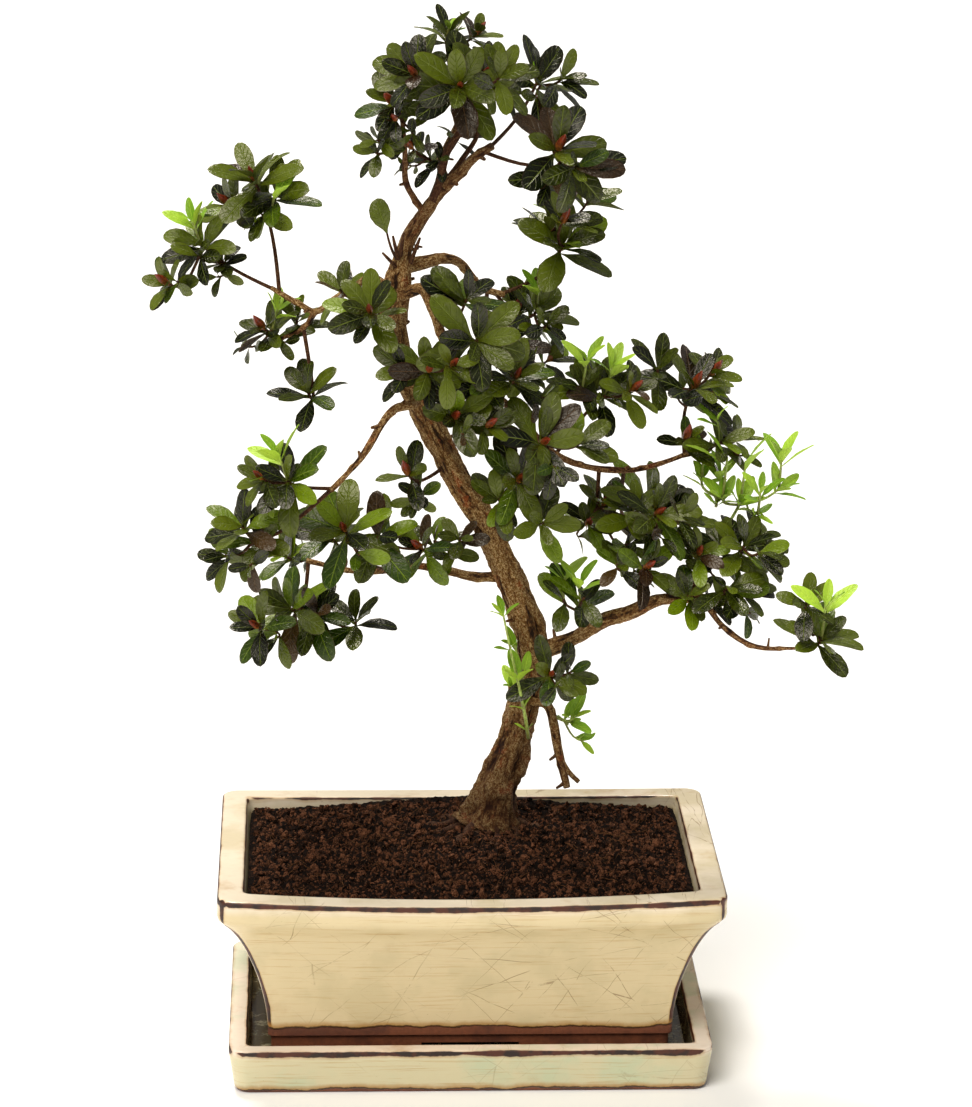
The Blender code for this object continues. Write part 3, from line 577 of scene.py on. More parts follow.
def rounded_outline(half_length: float, half_depth: float, corner: float,
                    bow: float = 0.0) -> Rows:
    """Return a rounded rectangle, counter-clockwise, whose long sides bow out."""
    points = []
    corners = ((1, -1, -90), (1, 1, 0), (-1, 1, 90), (-1, -1, 180))
    for number, (side_x, side_y, start) in enumerate(corners):
        for step in range(CORNER_STEPS + 1):
            angle = math.radians(start + 90.0 * step / CORNER_STEPS)
            points.append((side_x * (half_length - corner) + corner * math.cos(angle),
                           side_y * (half_depth - corner) + corner * math.sin(angle)))
        to_x, to_y = corners[(number + 1) % 4][:2]
        last_x, last_y = points[-1]
        next_x = to_x * (half_length - (0.0 if to_x == to_y else corner))
        next_y = to_y * (half_depth - (corner if to_x == to_y else 0.0))
        points += [(blend(last_x, next_x, step / SIDE_STEPS),
                    blend(last_y, next_y, step / SIDE_STEPS)) for step in range(1, SIDE_STEPS)]
    return [(x, y + math.copysign(bow * (1.0 - (x / half_length) ** 2), y)) for x, y in points]


def rim_rows(rim: float, top: float, edge: float, steps: int, flat: float) -> Rows:
    """Return inset and height of the rings over a rim with rounded edges.

    Args:
        rim: width of the rim.
        top: height of its top.
        edge: radius of its edges.
        steps: number of steps round its outer edge.
        flat: how far the rings of its flat top stand off the inner edge's round.

    Returns:
        The rows, from the outside in.
    """
    outer = [math.radians(90.0 / steps * step) for step in range(steps + 1)]
    inner = [math.radians(22.5 * step) for step in range(5)]
    return ([(edge * (1.0 - math.cos(turn)), top - edge * (1.0 - math.sin(turn)))
             for turn in outer]
            + [(edge + flat + 0.2, top), (rim - edge - flat, top)]
            + [(rim - edge * (1.0 - math.sin(turn)), top - edge * (1.0 - math.cos(turn)))
               for turn in inner])


class Vessel:
    """What pot and tray share: a skin over their rings, where their wear shows, and where painted
    shade darkens them.
    """

    def moat_shade(self, place: Vector) -> float:
        """Return 1 where painted shade darkens the walls, and 0 elsewhere."""
        return 0.0

    def fire(self, name: str, rows: Rows, node: str) -> Piece:
        """Skin the rings of rows of inset and height, close both ends, and glaze the piece."""
        bm = bmesh.new()
        skin = Skin(bm, 4 * (CORNER_STEPS + SIDE_STEPS))
        for number, row in enumerate(rows):
            skin.ring(self.ring(*row))
            if number in (0, len(rows) - 1):
                skin.close()
        bmesh.ops.recalc_face_normals(bm, faces=bm.faces)
        # edge marks where the glaze breaks; well marks where painted shade darkens the walls
        for title, value in (("edge", self.wear), ("well", self.moat_shade)):
            marks = layer(bm.verts.layers.float, title)
            for vert in bm.verts:
                vert[marks] = value(vert.co)
        return settle(name, bm, [self.finish], [node], RIM_SHARP)


@dataclass
class Pot(Vessel):
    """The glazed pot: bare foot, hollow flank, upright rim band and the inside."""

    length: float = 250.0
    depth: float = 170.0
    height: float = 104.0
    rim: float = 13.0
    corner: float = 8.0
    band: float = 91.0
    waist: float = 28.0
    flank: float = 24.3
    step: float = 24.0
    foot_inset: float = 1.6
    foot: float = 6.8
    wall: float = 7.0
    floor: float = 33.0
    bow: float = 5.0
    sag: float = 2.0
    edge: float = 1.6
    arch_length: float = 54.0
    arch_depth: float = 46.0
    arch_height: float = 12.7
    arch_taper: float = 0.9
    flank_steps: int = 18
    least_corner: float = 3.0
    corner_tightening: float = 0.3
    finish: Glaze = Glaze("cream_glaze", shade(222, 203, 160), shade(234, 219, 194), 99.5, 24.6,
                          7.0, 0.62, shade(200, 184, 140), 0.5)

    def inset_at(self, height: float) -> float:
        """Return how far the hollow flank lies inside the rim at a height."""
        share = (height - self.waist) / (self.band - self.waist)
        return self.flank * (1.0 - share ** 1.6) ** 0.68

    def warp(self, x: float, half_length: float, height: float) -> tuple[float, float]:
        """Return how far the shape warps at a height, and how much of that shows at x."""
        warp = max(0.0, (height - self.waist) / (self.height - self.waist))
        return warp, warp * (1.0 - (x / half_length) ** 2)

    def corner_at(self, inset: float) -> float:
        """Return the radius of the upright corners at an inset."""
        return max(self.least_corner, self.corner - self.corner_tightening * inset)

    def ring(self, inset: float, height: float) -> list[Point]:
        """Return the outline at a height, with the bow and sag that grow towards the rim."""
        half_length = self.length / 2 - inset
        outline = rounded_outline(half_length, self.depth / 2 - inset, self.corner_at(inset),
                                  self.bow * self.warp(0.0, half_length, height)[0])
        return [(x, y, height - self.sag * self.warp(x, half_length, height)[1])
                for x, y in outline]

    def profile(self) -> Rows:
        """Return inset and height of every ring, from the foot over the rim to the floor."""
        foot = self.flank + self.foot_inset
        rows = [(foot + 1.0, self.foot), (foot + 0.3, self.foot + 0.3), (foot, self.foot + 1.0),
                (foot, self.step - 2.0), (foot - 0.1, self.step - 0.8),
                (self.flank + 0.5, self.step - 0.3), (self.flank, self.step + 0.3)]
        for step in range(self.flank_steps):
            share = (step / (self.flank_steps - 1)) ** 0.75
            height = self.waist + (self.band - 1.5 - self.waist) * share
            rows.append((self.inset_at(height), height))
        rows += [(1.4, self.band + 0.2), (0.5, self.band + 1.2), (0.0, self.band + 3.0),
                 (0.0, self.band + 5.0), (0.0, self.height - 4.2)]
        rows += rim_rows(self.rim, self.height, self.edge, 5, 1.4)
        rows += [(self.rim + 0.4, self.height - 4.0), (self.rim + 1.2, self.height - 8.0)]
        rows += [(self.inset_at(level) + self.wall, level) for level in (80.0, 58.0)]
        return rows + [(self.flank + self.wall, self.floor)]

    def wear(self, place: Vector) -> float:
        """Return how much the glaze breaks at a place: along the rim and up the corners."""
        arch = self.warp(place.x, self.length / 2, place.z)[1]
        level = place.z + self.sag * arch
        side = self.length / 2 - abs(place.x)
        front = self.depth / 2 + self.bow * arch - abs(place.y)
        if level > self.band:
            outer = min(side, front)
            rim = bell(outer - 0.2, level - self.height + 1.2, 1.25)
            inner = 0.74 * bell(outer - self.rim, level - self.height + 0.7, 1.1)
            post = 0.80 * bell(side - 2.3, front - 2.3, 1.6)
            return max(rim, post, inner if side < front or place.y > 0.0 else 0.0)
        inset = self.inset_at(clamp(place.z, self.waist, self.band))
        off = inset + self.corner_at(inset) * 0.29
        return bell(side - off, front - off, 1.6) if level > self.step else 0.0

    def build(self) -> None:
        """Build the pot and cut the crossing gaps that leave it standing on four feet."""
        pot = self.fire("glazed_pot", self.profile(), "pot")
        for length, depth in ((self.arch_length, 2 * self.depth),
                              (2 * self.length, self.arch_depth)):
            self.cut_arch(pot, length, depth)

    def cut_arch(self, pot: Piece, length: float, depth: float) -> None:
        """Cut one gap under the pot, a little narrower at its top."""
        bm = bmesh.new()
        bmesh.ops.create_cube(bm, size=1.0)
        for vert in bm.verts:
            shrink = self.arch_taper if vert.co.z > 0 else 1.0
            vert.co.x *= length * (shrink if length < depth else 1.0)
            vert.co.y *= depth * (shrink if depth < length else 1.0)
            vert.co.z = self.foot + vert.co.z * 2 * self.arch_height
        bmesh.ops.scale(bm, vec=(MM, MM, MM), verts=bm.verts)
        cutter = add_object("arch", to_mesh(bm, "arch"))
        modifier = pot.modifiers.new("arch", "BOOLEAN")
        modifier.operation = "DIFFERENCE"
        modifier.solver = "EXACT"
        modifier.object = cutter
        graph = bpy.context.evaluated_depsgraph_get()
        cut = bpy.data.meshes.new_from_object(pot.evaluated_get(graph))
        pot.modifiers.clear()
        pot.data = cut
        bpy.data.objects.remove(cutter, do_unlink=True)


@dataclass
class DripTray(Vessel):
    """The shallow glazed dish under the pot, with a broad flat rim."""

    length: float = 240.0
    depth: float = 157.5
    height: float = 22.8
    rim: float = 9.0
    draft: float = 2.8
    floor: float = 6.5
    corner: float = 9.0
    edge: float = 1.0
    finish: Glaze = Glaze("tray_glaze", shade(214, 204, 166), shade(234, 219, 202), 21.6, -2.4,
                          7.5, 0.26, shade(186, 204, 170), 0.55)

    def ring(self, inset: float, height: float) -> list[Point]:
        """Return the outline at a height."""
        outline = rounded_outline(self.length / 2 - inset, self.depth / 2 - inset,
                                  max(2.0, self.corner - 0.6 * inset))
        return [(x, y, height) for x, y in outline]

    def inside(self, place: Vector) -> float:
        """Return how far a place lies inside the tray's outline."""
        return min(self.length / 2 - abs(place.x), self.depth / 2 - abs(place.y))

    def wear(self, place: Vector) -> float:
        """Return how much the glaze breaks at a place: along both edges of the rim."""
        outer = self.inside(place)
        drop = place.z - self.height
        return max(bell(outer - 0.2, drop + 1.6, 1.6),
                   0.75 * bell(outer - self.rim, drop + 0.6, 1.2))

    def moat_shade(self, place: Vector) -> float:
        """Return 1 on the walls inside the rim, which lie under the pot, where painted shade
        darkens them.
        """
        return float(self.inside(place) > self.rim and place.z < self.height - 1.0)

    def build(self) -> None:
        """Build the tray."""
        rows = [(self.draft + inset, height) for inset, height in (
            (1.6, 0.0), (0.7, 0.4), (0.2, 1.2), (-0.2, 2.4), (-0.5, 4.0))]
        rows += [(self.draft * 0.5, 11.0), (0.3, self.height - 5.0), (0.0, self.height - 3.0)]
        rows += rim_rows(self.rim, self.height, self.edge, 4, 1.2)
        rows.append((self.rim + 0.4, self.height - 4.0))
        rows += [(self.rim + inset, self.floor + rise)
                 for inset, rise in ((1.0, 1.5), (1.5, 0.4), (2.8, 0.0))]
        self.fire("glazed_tray", rows, "drip_tray")


# ==== wood =================================================================================
class Wood(NamedTuple):
    """A piece of wood as a centre line with a radius at each point."""

    points: list
    radii: list


def smooth_route(route: Sequence, widths: Sequence[float], step: float) -> Wood:
    """Return wood along a smooth curve through a few points, with rings a step apart."""
    knots = [Vector(point) for point in route]
    last = len(knots) - 1
    wood = Wood([], [])
    for i in range(last):
        before = knots[max(i - 1, 0)]
        after = knots[min(i + 2, last)]
        handle_a = knots[i] + (knots[i + 1] - before) / 6.0
        handle_b = knots[i + 1] - (after - knots[i]) / 6.0
        parts = max(1, round((knots[i + 1] - knots[i]).length / step))
        curve = interpolate_bezier(knots[i], handle_a, handle_b, knots[i + 1], parts + 1)
        for part in range(parts + (i == last - 1)):
            wood.points.append(curve[part])
            wood.radii.append(width_at(widths, (i + part / parts) / last) / 2)
    return wood


def refined(wood: Wood, step: float) -> Wood:
    """Return the same wood with many more rings, for its bark's relief."""
    return smooth_route(wood.points, [2.0 * radius for radius in wood.radii], step)


def nearest_place(wood: Wood, target: Vector) -> tuple[float, float]:
    """Return how far a target is from some wood, and the place nearest to it, counted in the
    wood's points."""
    best = (math.inf, 0.0)
    for i, start in enumerate(wood.points[:-1]):
        along = wood.points[i + 1] - start
        share = clamp((target - start).dot(along) / along.length_squared)
        best = min(best, ((target - start - along * share).length, i + share))
    return best


def point_at(wood: Wood, place: float) -> Vector:
    """Return the point on a centre line at a place counted in its points."""
    index = min(int(place), len(wood.points) - 2)
    return wood.points[index].lerp(wood.points[index + 1], place - index)


TIP_MARGIN = 0.05                     # a place this near the last point counts as the tip
TIP_DROP = 1.5                        # how far below the tip a shoot for it starts
LOWEST_START = 0.15                   # lowest place of a shoot, as a share of its wood
START_DROP = 0.35                     # how much lower it starts for each millimetre it spans
STEM_GAP = 3.5                        # how far apart two stems start


def spring_point(wood: Wood, target: Vector, earlier: Sequence[Wood] = ()) -> Vector:
    """Return where a shoot leaves some wood for a target: nearest, then a little lower.

    It moves on down the wood while it would start too close to an earlier stem.
    """
    distance, place = nearest_place(wood, target)
    last = len(wood.points) - 1
    step = (wood.points[-1] - wood.points[0]).length / last
    if place > last - TIP_MARGIN:
        place = last - min(0.5, TIP_DROP / step)
    else:
        place = max(LOWEST_START * last, place - START_DROP * distance / step)
    root = point_at(wood, place)
    while place > 0.1 and any((root - stem.points[0]).length < STEM_GAP for stem in earlier):
        place -= 0.5 / step
        root = point_at(wood, place)
    return root


def point_below_tip(wood: Wood, distance: float) -> Vector:
    """Return the point on a centre line at a distance back from its tip."""
    for near, far in zip(reversed(wood.points), reversed(wood.points[:-1])):
        length = (near - far).length
        if distance <= length:
            return near.lerp(far, distance / length)
        distance -= length
    return wood.points[0]


@dataclass
class Relief:
    """The unevenness of a limb's bark: lumps, ridges along it, knots, and a flare at its foot.

    Args:
        seed: shifts the pattern, so that no two limbs are alike.
        lumps: height of the broad lumps, as a share of the radius.
        ridges: height of the narrow ridges, as a share of the radius.
        knots: place along the limb (0 to 1), angle in degrees, and size of each knot.
        lobes: height of the root lobes at its foot, in millimetres.
        collar: swelling where a bough leaves its parent, as a share of the radius.
        twist: turn of the ridges round the limb, in radians for each millimetre along it.
        knot_rise: how far a knot stands out, as a share of its size.
        knot_pit: how deep the pit in its middle is, as a share of its size.
        pit_share: how many times smaller than the knot its pit is.
        lobe_height: height over which the root lobes fade, in millimetres.
    """

    seed: int
    lumps: float
    ridges: float
    knots: Sequence = ()
    lobes: float = 0.0
    collar: float = 0.0
    twist: float = 0.0
    knot_rise: float = 0.55
    knot_pit: float = 0.30
    pit_share: float = 2.6
    lobe_height: float = 11.0

    def radius(self, radius: float, angle: float, along: float, length: float) -> float:
        """Return the radius of the bark at an angle and a distance along the limb."""
        turned = angle + self.twist * along
        around = Vector((math.cos(turned), math.sin(turned), 0.0)) * radius
        shift = Vector((self.seed * 17.3, self.seed * 7.1, 0.0))
        broad, ridge, grain = (
            noise.noise(around * fine + Vector((0, 0, along * drawn)) + shift * number)
            for number, fine, drawn in ((1.0, 0.16, 0.055), (2.0, 0.75, 0.10), (3.0, 1.7, 0.42)))
        grown = radius * (1.0 + self.lumps * broad + self.ridges * (0.7 * ridge + 0.4 * grain))
        for place, knot_angle, size in self.knots:
            off = (angle - math.radians(knot_angle) + math.pi) % (2 * math.pi) - math.pi
            reach = math.hypot(off * radius, along - place * length) / size
            grown += size * self.knot_rise * math.exp(-reach ** 2)
            grown -= size * self.knot_pit * math.exp(-(reach * self.pit_share) ** 2)
        lobe = math.sin(3.0 * angle + 0.8) + 0.6 * math.sin(5.0 * angle + 2.0)
        grown += self.lobes * max(0.0, lobe) * math.exp(-along / self.lobe_height)
        return grown + radius * self.collar * math.exp(-along / (1.6 * radius))


def sweep(bm: BMesh, wood: Wood, sides: int, relief: Optional[Relief] = None) -> None:
    """Extrude a circle along some wood, closed at both ends, and note its grain and ridges.

    Args:
        bm: mesh that receives it.
        wood: centre line and radii.
        sides: number of sides.
        relief: unevenness of its bark, or None for a smooth skin.
    """
    floats = bm.verts.layers.float
    grain = layer(bm.verts.layers.float_vector, "grain")
    tones, ridges = layer(floats, "tone"), layer(floats, "ridge")
    points = wood.points
    length = sum((b - a).length for a, b in zip(points, points[1:]))
    angles = [2.0 * math.pi * number / sides for number in range(sides)]
    skin = Skin(bm, sides)
    along = 0.0
    side_way = None
    for index, (point, radius) in enumerate(zip(points, wood.radii)):
        before = points[max(index - 1, 0)]
        forward = (points[min(index + 1, len(points) - 1)] - before).normalized()
        if side_way is None:
            side_way = forward.orthogonal()
        side_way = (side_way - forward * side_way.dot(forward)).normalized()
        other_way = forward.cross(side_way)
        if index:
            along += (point - before).length
        reaches = [relief.radius(radius, angle, along, length) if relief else radius
                   for angle in angles]
        level = sum(reaches) / sides
        places = [point + (side_way * math.cos(angle) + other_way * math.sin(angle)) * reach
                  for angle, reach in zip(angles, reaches)]
        for vert, angle, reach in zip(skin.ring(places), angles, reaches):
            vert[grain] = (radius * math.cos(angle), radius * math.sin(angle), along)
            vert[tones] = 0.5
            # the bark paint darkens low ridge values, partly as painted shade in the hollows
            vert[ridges] = (reach - level) / radius
        if index == 0:
            skin.close()
    skin.close()


class Bundle:
    """A mesh gathered from many small ones, each modelled on its own."""

    def __init__(self) -> None:
        self.bm = bmesh.new()

    def take(self, mesh: Mesh) -> None:
        """Take over one finished mesh, which is removed."""
        self.bm.from_mesh(mesh)
        bpy.data.meshes.remove(mesh)

    def limb(self, wood: Wood, sides: int, relief: Optional[Relief] = None) -> None:
        """Add some wood, swept on its own."""
        part = bmesh.new()
        sweep(part, wood, sides, relief)
        bmesh.ops.recalc_face_normals(part, faces=part.faces)
        self.take(to_mesh(part, "limb"))

    def stamp(self, model: Mesh, matrix: Matrix, tone: float) -> None:
        """Add a copy of a model at a matrix, with its own tone."""
        copy = model.copy()
        copy.transform(matrix)
        copy.attributes["tone"].data.foreach_set("value", [tone] * len(copy.vertices))
        self.take(copy)


# ---- the limbs ----------------------------------------------------------------------------
TRUNK_ROUTE = (
    (13, 30, 105), (17, 29, 127), (24, 27, 148), (29, 25, 172), (33, 22, 195),
    (31, 20, 212), (22, 17, 235), (10, 12, 265), (-7, 6, 295), (-23, 2, 328), (-35, 0, 354),
    (-38, 0, 372), (-36, 0, 394), (-32, 0, 411), (-23, 0, 428), (-12, 0, 443),
)
TRUNK_WIDTHS = (23, 19, 16.5, 16, 16, 15, 14, 13.5, 12.5, 12.5, 11.5, 11.5, 13.5, 9.5, 8, 6.5)
TRUNK_STEP = 15.0
BOUGH_STEP = 11.0


class Bough(NamedTuple):
    """A bough: where it leads after it leaves its parent, and its width from start to tip."""

    name: str
    parent: str
    route: tuple
    widths: tuple


BOUGHS = (
    Bough("bough_crown_left", "trunk", ((-32, -4, 443), (-33, -8, 460), (-34, -12, 475)),
          (3.2, 1.9)),
    Bough("bough_crown_middle", "trunk", ((-15, 6, 450), (-12, 12, 458), (-4, 18, 474)),
          (4.6, 2.5)),
    Bough("bough_crown_right", "trunk", ((-6, -4, 448), (0, -8, 456), (9, -12, 463)),
          (5.2, 3.8)),
    Bough("bough_right_arch", "trunk",
          ((-23, 2, 403), (-14, 6, 404), (-6, 12, 401), (0, 18, 393), (7, 24, 385), (17, 28, 381)),
          (6.5, 3.2)),
    Bough("bough_hook", "trunk",
          ((-24, -16, 393), (-19, -22, 384), (-15, -24, 372), (-7, -24, 359), (5, -20, 345)),
          (5.8, 4.4)),
    Bough("bough_right_middle", "bough_hook",
          ((20, -14, 333), (38, -5, 311), (58, 1, 300), (85, 8, 297), (109, 16, 303)),
          (4.4, 2.4)),
    Bough("bough_left_upper", "trunk",
          ((-48, 6, 394), (-59, 10, 388), (-76, 17, 375), (-84, 20, 378), (-98, 26, 385)),
          (5.2, 2.2)),
    Bough("bough_left_fork", "bough_left_upper", ((-82, 20, 366), (-100, 24, 357)), (2.6, 1.7)),
    Bough("bough_left_middle", "trunk",
          ((-30, -13, 335), (-38, -18, 334), (-44, -24, 328), (-55, -35, 313), (-69, -44, 300)),
          (5.0, 2.6)),
    Bough("bough_left_lower", "trunk",
          ((1, 18, 239), (-10, 20, 241), (-24, 22, 243), (-53, 26, 239), (-81, 30, 244)),
          (5.4, 2.4)),
    Bough("bough_right_lower", "trunk",
          ((47, 16, 204), (56, 8, 211), (66, 0, 220), (81, -8, 228), (95, -14, 236),
           (116, -20, 238)),
          (9.4, 8.0, 7.6, 7.4, 6.2, 4.2)),
    Bough("bough_right_riser", "bough_right_lower", ((113, -14, 250), (117, -8, 260)),
          (4.2, 2.8)),
    Bough("bough_right_tip", "bough_right_lower",
          ((124, -26, 226), (135, -32, 219), (145, -36, 217), (163, -42, 219)), (3.2, 1.7)),
    Bough("stub_pruned", "trunk", ((41, 12, 172), (46, 3, 150), (50, 0, 133)), (6.0, 3.2)),
)

BARK = Bark("bark", shade(38, 20, 6), shade(130, 86, 40), shade(216, 182, 124),
            shade(164, 82, 38))
YOUNG_BARK = Bark("young_bark", shade(38, 19, 9), shade(110, 68, 34), shade(190, 148, 96),
                  shade(120, 54, 26))
TWIG_BARK = Bark("twig_bark", shade(32, 16, 9), shade(80, 46, 26), shade(134, 94, 58),
                 shade(70, 28, 16))
ROOT_BARK = Bark("root_bark", shade(34, 22, 16), shade(84, 56, 38), shade(138, 106, 74),
                 shade(76, 42, 30))


@dataclass
class Limbs:
    """The trunk and the boughs, each with the bark of its own node.

    Args:
        woods: centre line of each limb, by its name.
        knots: place, angle and size of the trunk's large knots.
        small_knots: number of small ones.
        flare: how far the trunk's foot widens, and the height over which that fades.
        neck: height above which the trunk slims, how soon, and its share of width there.
        spurs: number of dead spurs on the trunk, and on each bough.
        strands: start, end, angle, twist and radius of each strand that winds down the trunk.
        strand_rings: number of points along a strand.
        ring_steps: distance between the rings of the trunk, of the boughs and of the strands.
    """

    woods: dict = field(default_factory=dict)
    knots: tuple = ((0.27, 250, 4.6), (0.30, 350, 4.0), (0.72, 205, 2.4), (0.80, 265, 4.4),
                    (0.78, 170, 3.2), (0.50, 230, 2.6), (0.12, 300, 3.6), (0.06, 220, 4.2))
    small_knots: int = 30
    flare: tuple = (4.5, 7.0)
    neck: tuple = (397.0, 12.0, 0.82)
    spurs: tuple = (22, 2)
    strands: tuple = (
        (0.83, 0.64, 265, 40, 2.3), (0.82, 0.58, 300, -50, 2.0), (0.81, 0.62, 225, 30, 2.2),
        (0.80, 0.50, 250, 70, 1.7), (0.82, 0.66, 335, -40, 2.1), (0.64, 0.40, 280, 60, 1.7),
        (0.40, 0.14, 300, -60, 2.4), (0.32, 0.06, 235, 45, 2.6), (0.34, 0.10, 340, -30, 2.2),
    )
    strand_rings: int = 12
    ring_steps: tuple = (1.8, 1.6, 2.0)

    def grow(self) -> None:
        """Work out the centre line of every limb, by the rule of the part's source."""
        self.woods["trunk"] = smooth_route(TRUNK_ROUTE, TRUNK_WIDTHS, TRUNK_STEP)
        for bough in BOUGHS:
            root = spring_point(self.woods[bough.parent], Vector(bough.route[0]))
            self.woods[bough.name] = smooth_route((root, *bough.route), bough.widths,
                                                  BOUGH_STEP)

    def settle_limb(self, bm: BMesh, name: str, finish: Bark) -> None:
        """Make one limb's bark a piece that stands for its node."""
        bmesh.ops.recalc_face_normals(bm, faces=bm.faces)
        settle("bark_" + name, bm, [finish], [name])

    def build_trunk(self) -> None:
        """Build the trunk with its root flare and knots, down into the soil."""
        wood = refined(self.woods["trunk"], self.ring_steps[0])
        foot = wood.points[0].copy()
        for index, point in enumerate(wood.points):
            wood.radii[index] += self.flare[0] * math.exp((foot.z - point.z) / self.flare[1])
        wood.points.insert(0, foot - Vector((0.6, 0.0, 2.0)))
        wood.radii.insert(0, wood.radii[0] + 0.8)
        chance = random.Random(11)
        knots = [*self.knots, *((chance.random(), chance.uniform(0, 360),
                                 chance.uniform(1.2, 3.2)) for _ in range(self.small_knots))]
        start, reach, slim = self.neck
        for index, point in enumerate(wood.points):
            wood.radii[index] *= blend(1.0, slim, clamp((point.z - start) / reach))
        bm = bmesh.new()
        sweep(bm, wood, 48, Relief(1, 0.22, 0.22, knots, 3.4, 0.0, 0.016))
        self.settle_limb(bm, "trunk", BARK)

    def build_boughs(self) -> None:
        """Build every bough with a collar where it leaves its parent."""
        for number, bough in enumerate(BOUGHS):
            knots = [(share, 97.0 * number + 360.0 * share * 3.3, 1.5)
                     for share in (0.15, 0.35, 0.55, 0.8)]
            bm = bmesh.new()
            sweep(bm, refined(self.woods[bough.name], self.ring_steps[1]), 18,
                  Relief(number + 2, 0.24, 0.20, knots, 0.0, 0.35))
            if bough.name == "stub_pruned":
                spur = Wood([Vector(p) for p in ((46, 3, 149), (51, 1, 141), (56, 0, 136))],
                            [1.5, 1.4, 1.2])
                sweep(bm, refined(spur, self.ring_steps[1]), 12, Relief(31, 0.12, 0.12))
            self.settle_limb(bm, bough.name, BARK if bough.widths[0] > 4.5 else YOUNG_BARK)

    def build_strands(self) -> None:
        """Build the old strands that wind down the trunk from its upper boughs."""
        trunk = self.woods["trunk"]
        last = len(trunk.points) - 1
        shares = [step / (self.strand_rings - 1) for step in range(self.strand_rings)]
        bundle = Bundle()
        for start, end, angle, twist, radius in self.strands:
            wood = Wood([], [radius * math.sin(math.pi * blend(0.12, 0.9, share)) ** 0.5
                             for share in shares])
            for share in shares:
                place = last * blend(start, end, share)
                centre = point_at(trunk, place)
                forward = (point_at(trunk, place + 0.1) - centre).normalized()
                side_way = (Vector((1, 0, 0)) - forward * forward.x).normalized()
                around = math.radians(angle + twist * share)
                way = side_way * math.cos(around) + forward.cross(side_way) * math.sin(around)
                wood.points.append(centre + way * (width_at(trunk.radii, place / last)
                                                   - 0.25 * radius))
            bundle.limb(refined(wood, self.ring_steps[2]), 12, Relief(int(angle), 0.25, 0.22))
        settle("bark_strands", bundle.bm, [BARK])

    def build_spurs(self) -> None:
        """Build the dead ends of twigs that stand on the trunk and the boughs."""
        chance = random.Random(23)
        bundle = Bundle()
        for name, wood in self.woods.items():
            last = len(wood.points) - 1
            for _ in range(self.spurs[name != "trunk"]):
                place = last * chance.uniform(0.15, 0.97)
                foot = point_at(wood, place)
                forward = (point_at(wood, min(last, place + 0.2)) - foot).normalized()
                way = Vector([chance.uniform(-1, 1) for _ in range(3)])
                way = (way - forward * way.dot(forward)).normalized()
                radius = width_at(wood.radii, place / last)
                lean = (way + forward * chance.uniform(-0.2, 0.9)).normalized()
                thick = min(0.5 * radius, chance.uniform(0.5, 1.0))
                length = chance.uniform(1.5, 6.0)
                start = foot + way * radius * 0.8
                spur = Wood([start + lean * length * share for share in (0.0, 0.35, 0.7, 1.0)],
                            [thick * share for share in (1.5, 1.1, 1.0, 0.8)])
                bundle.limb(spur, 7, Relief(5, 0.2, 0.2))
        settle("bark_spurs", bundle.bm, [YOUNG_BARK])

    def build(self) -> None:
        """Build the trunk, the boughs, the strands and the spurs."""
        self.build_trunk()
        self.build_boughs()
        self.build_strands()
        self.build_spurs()


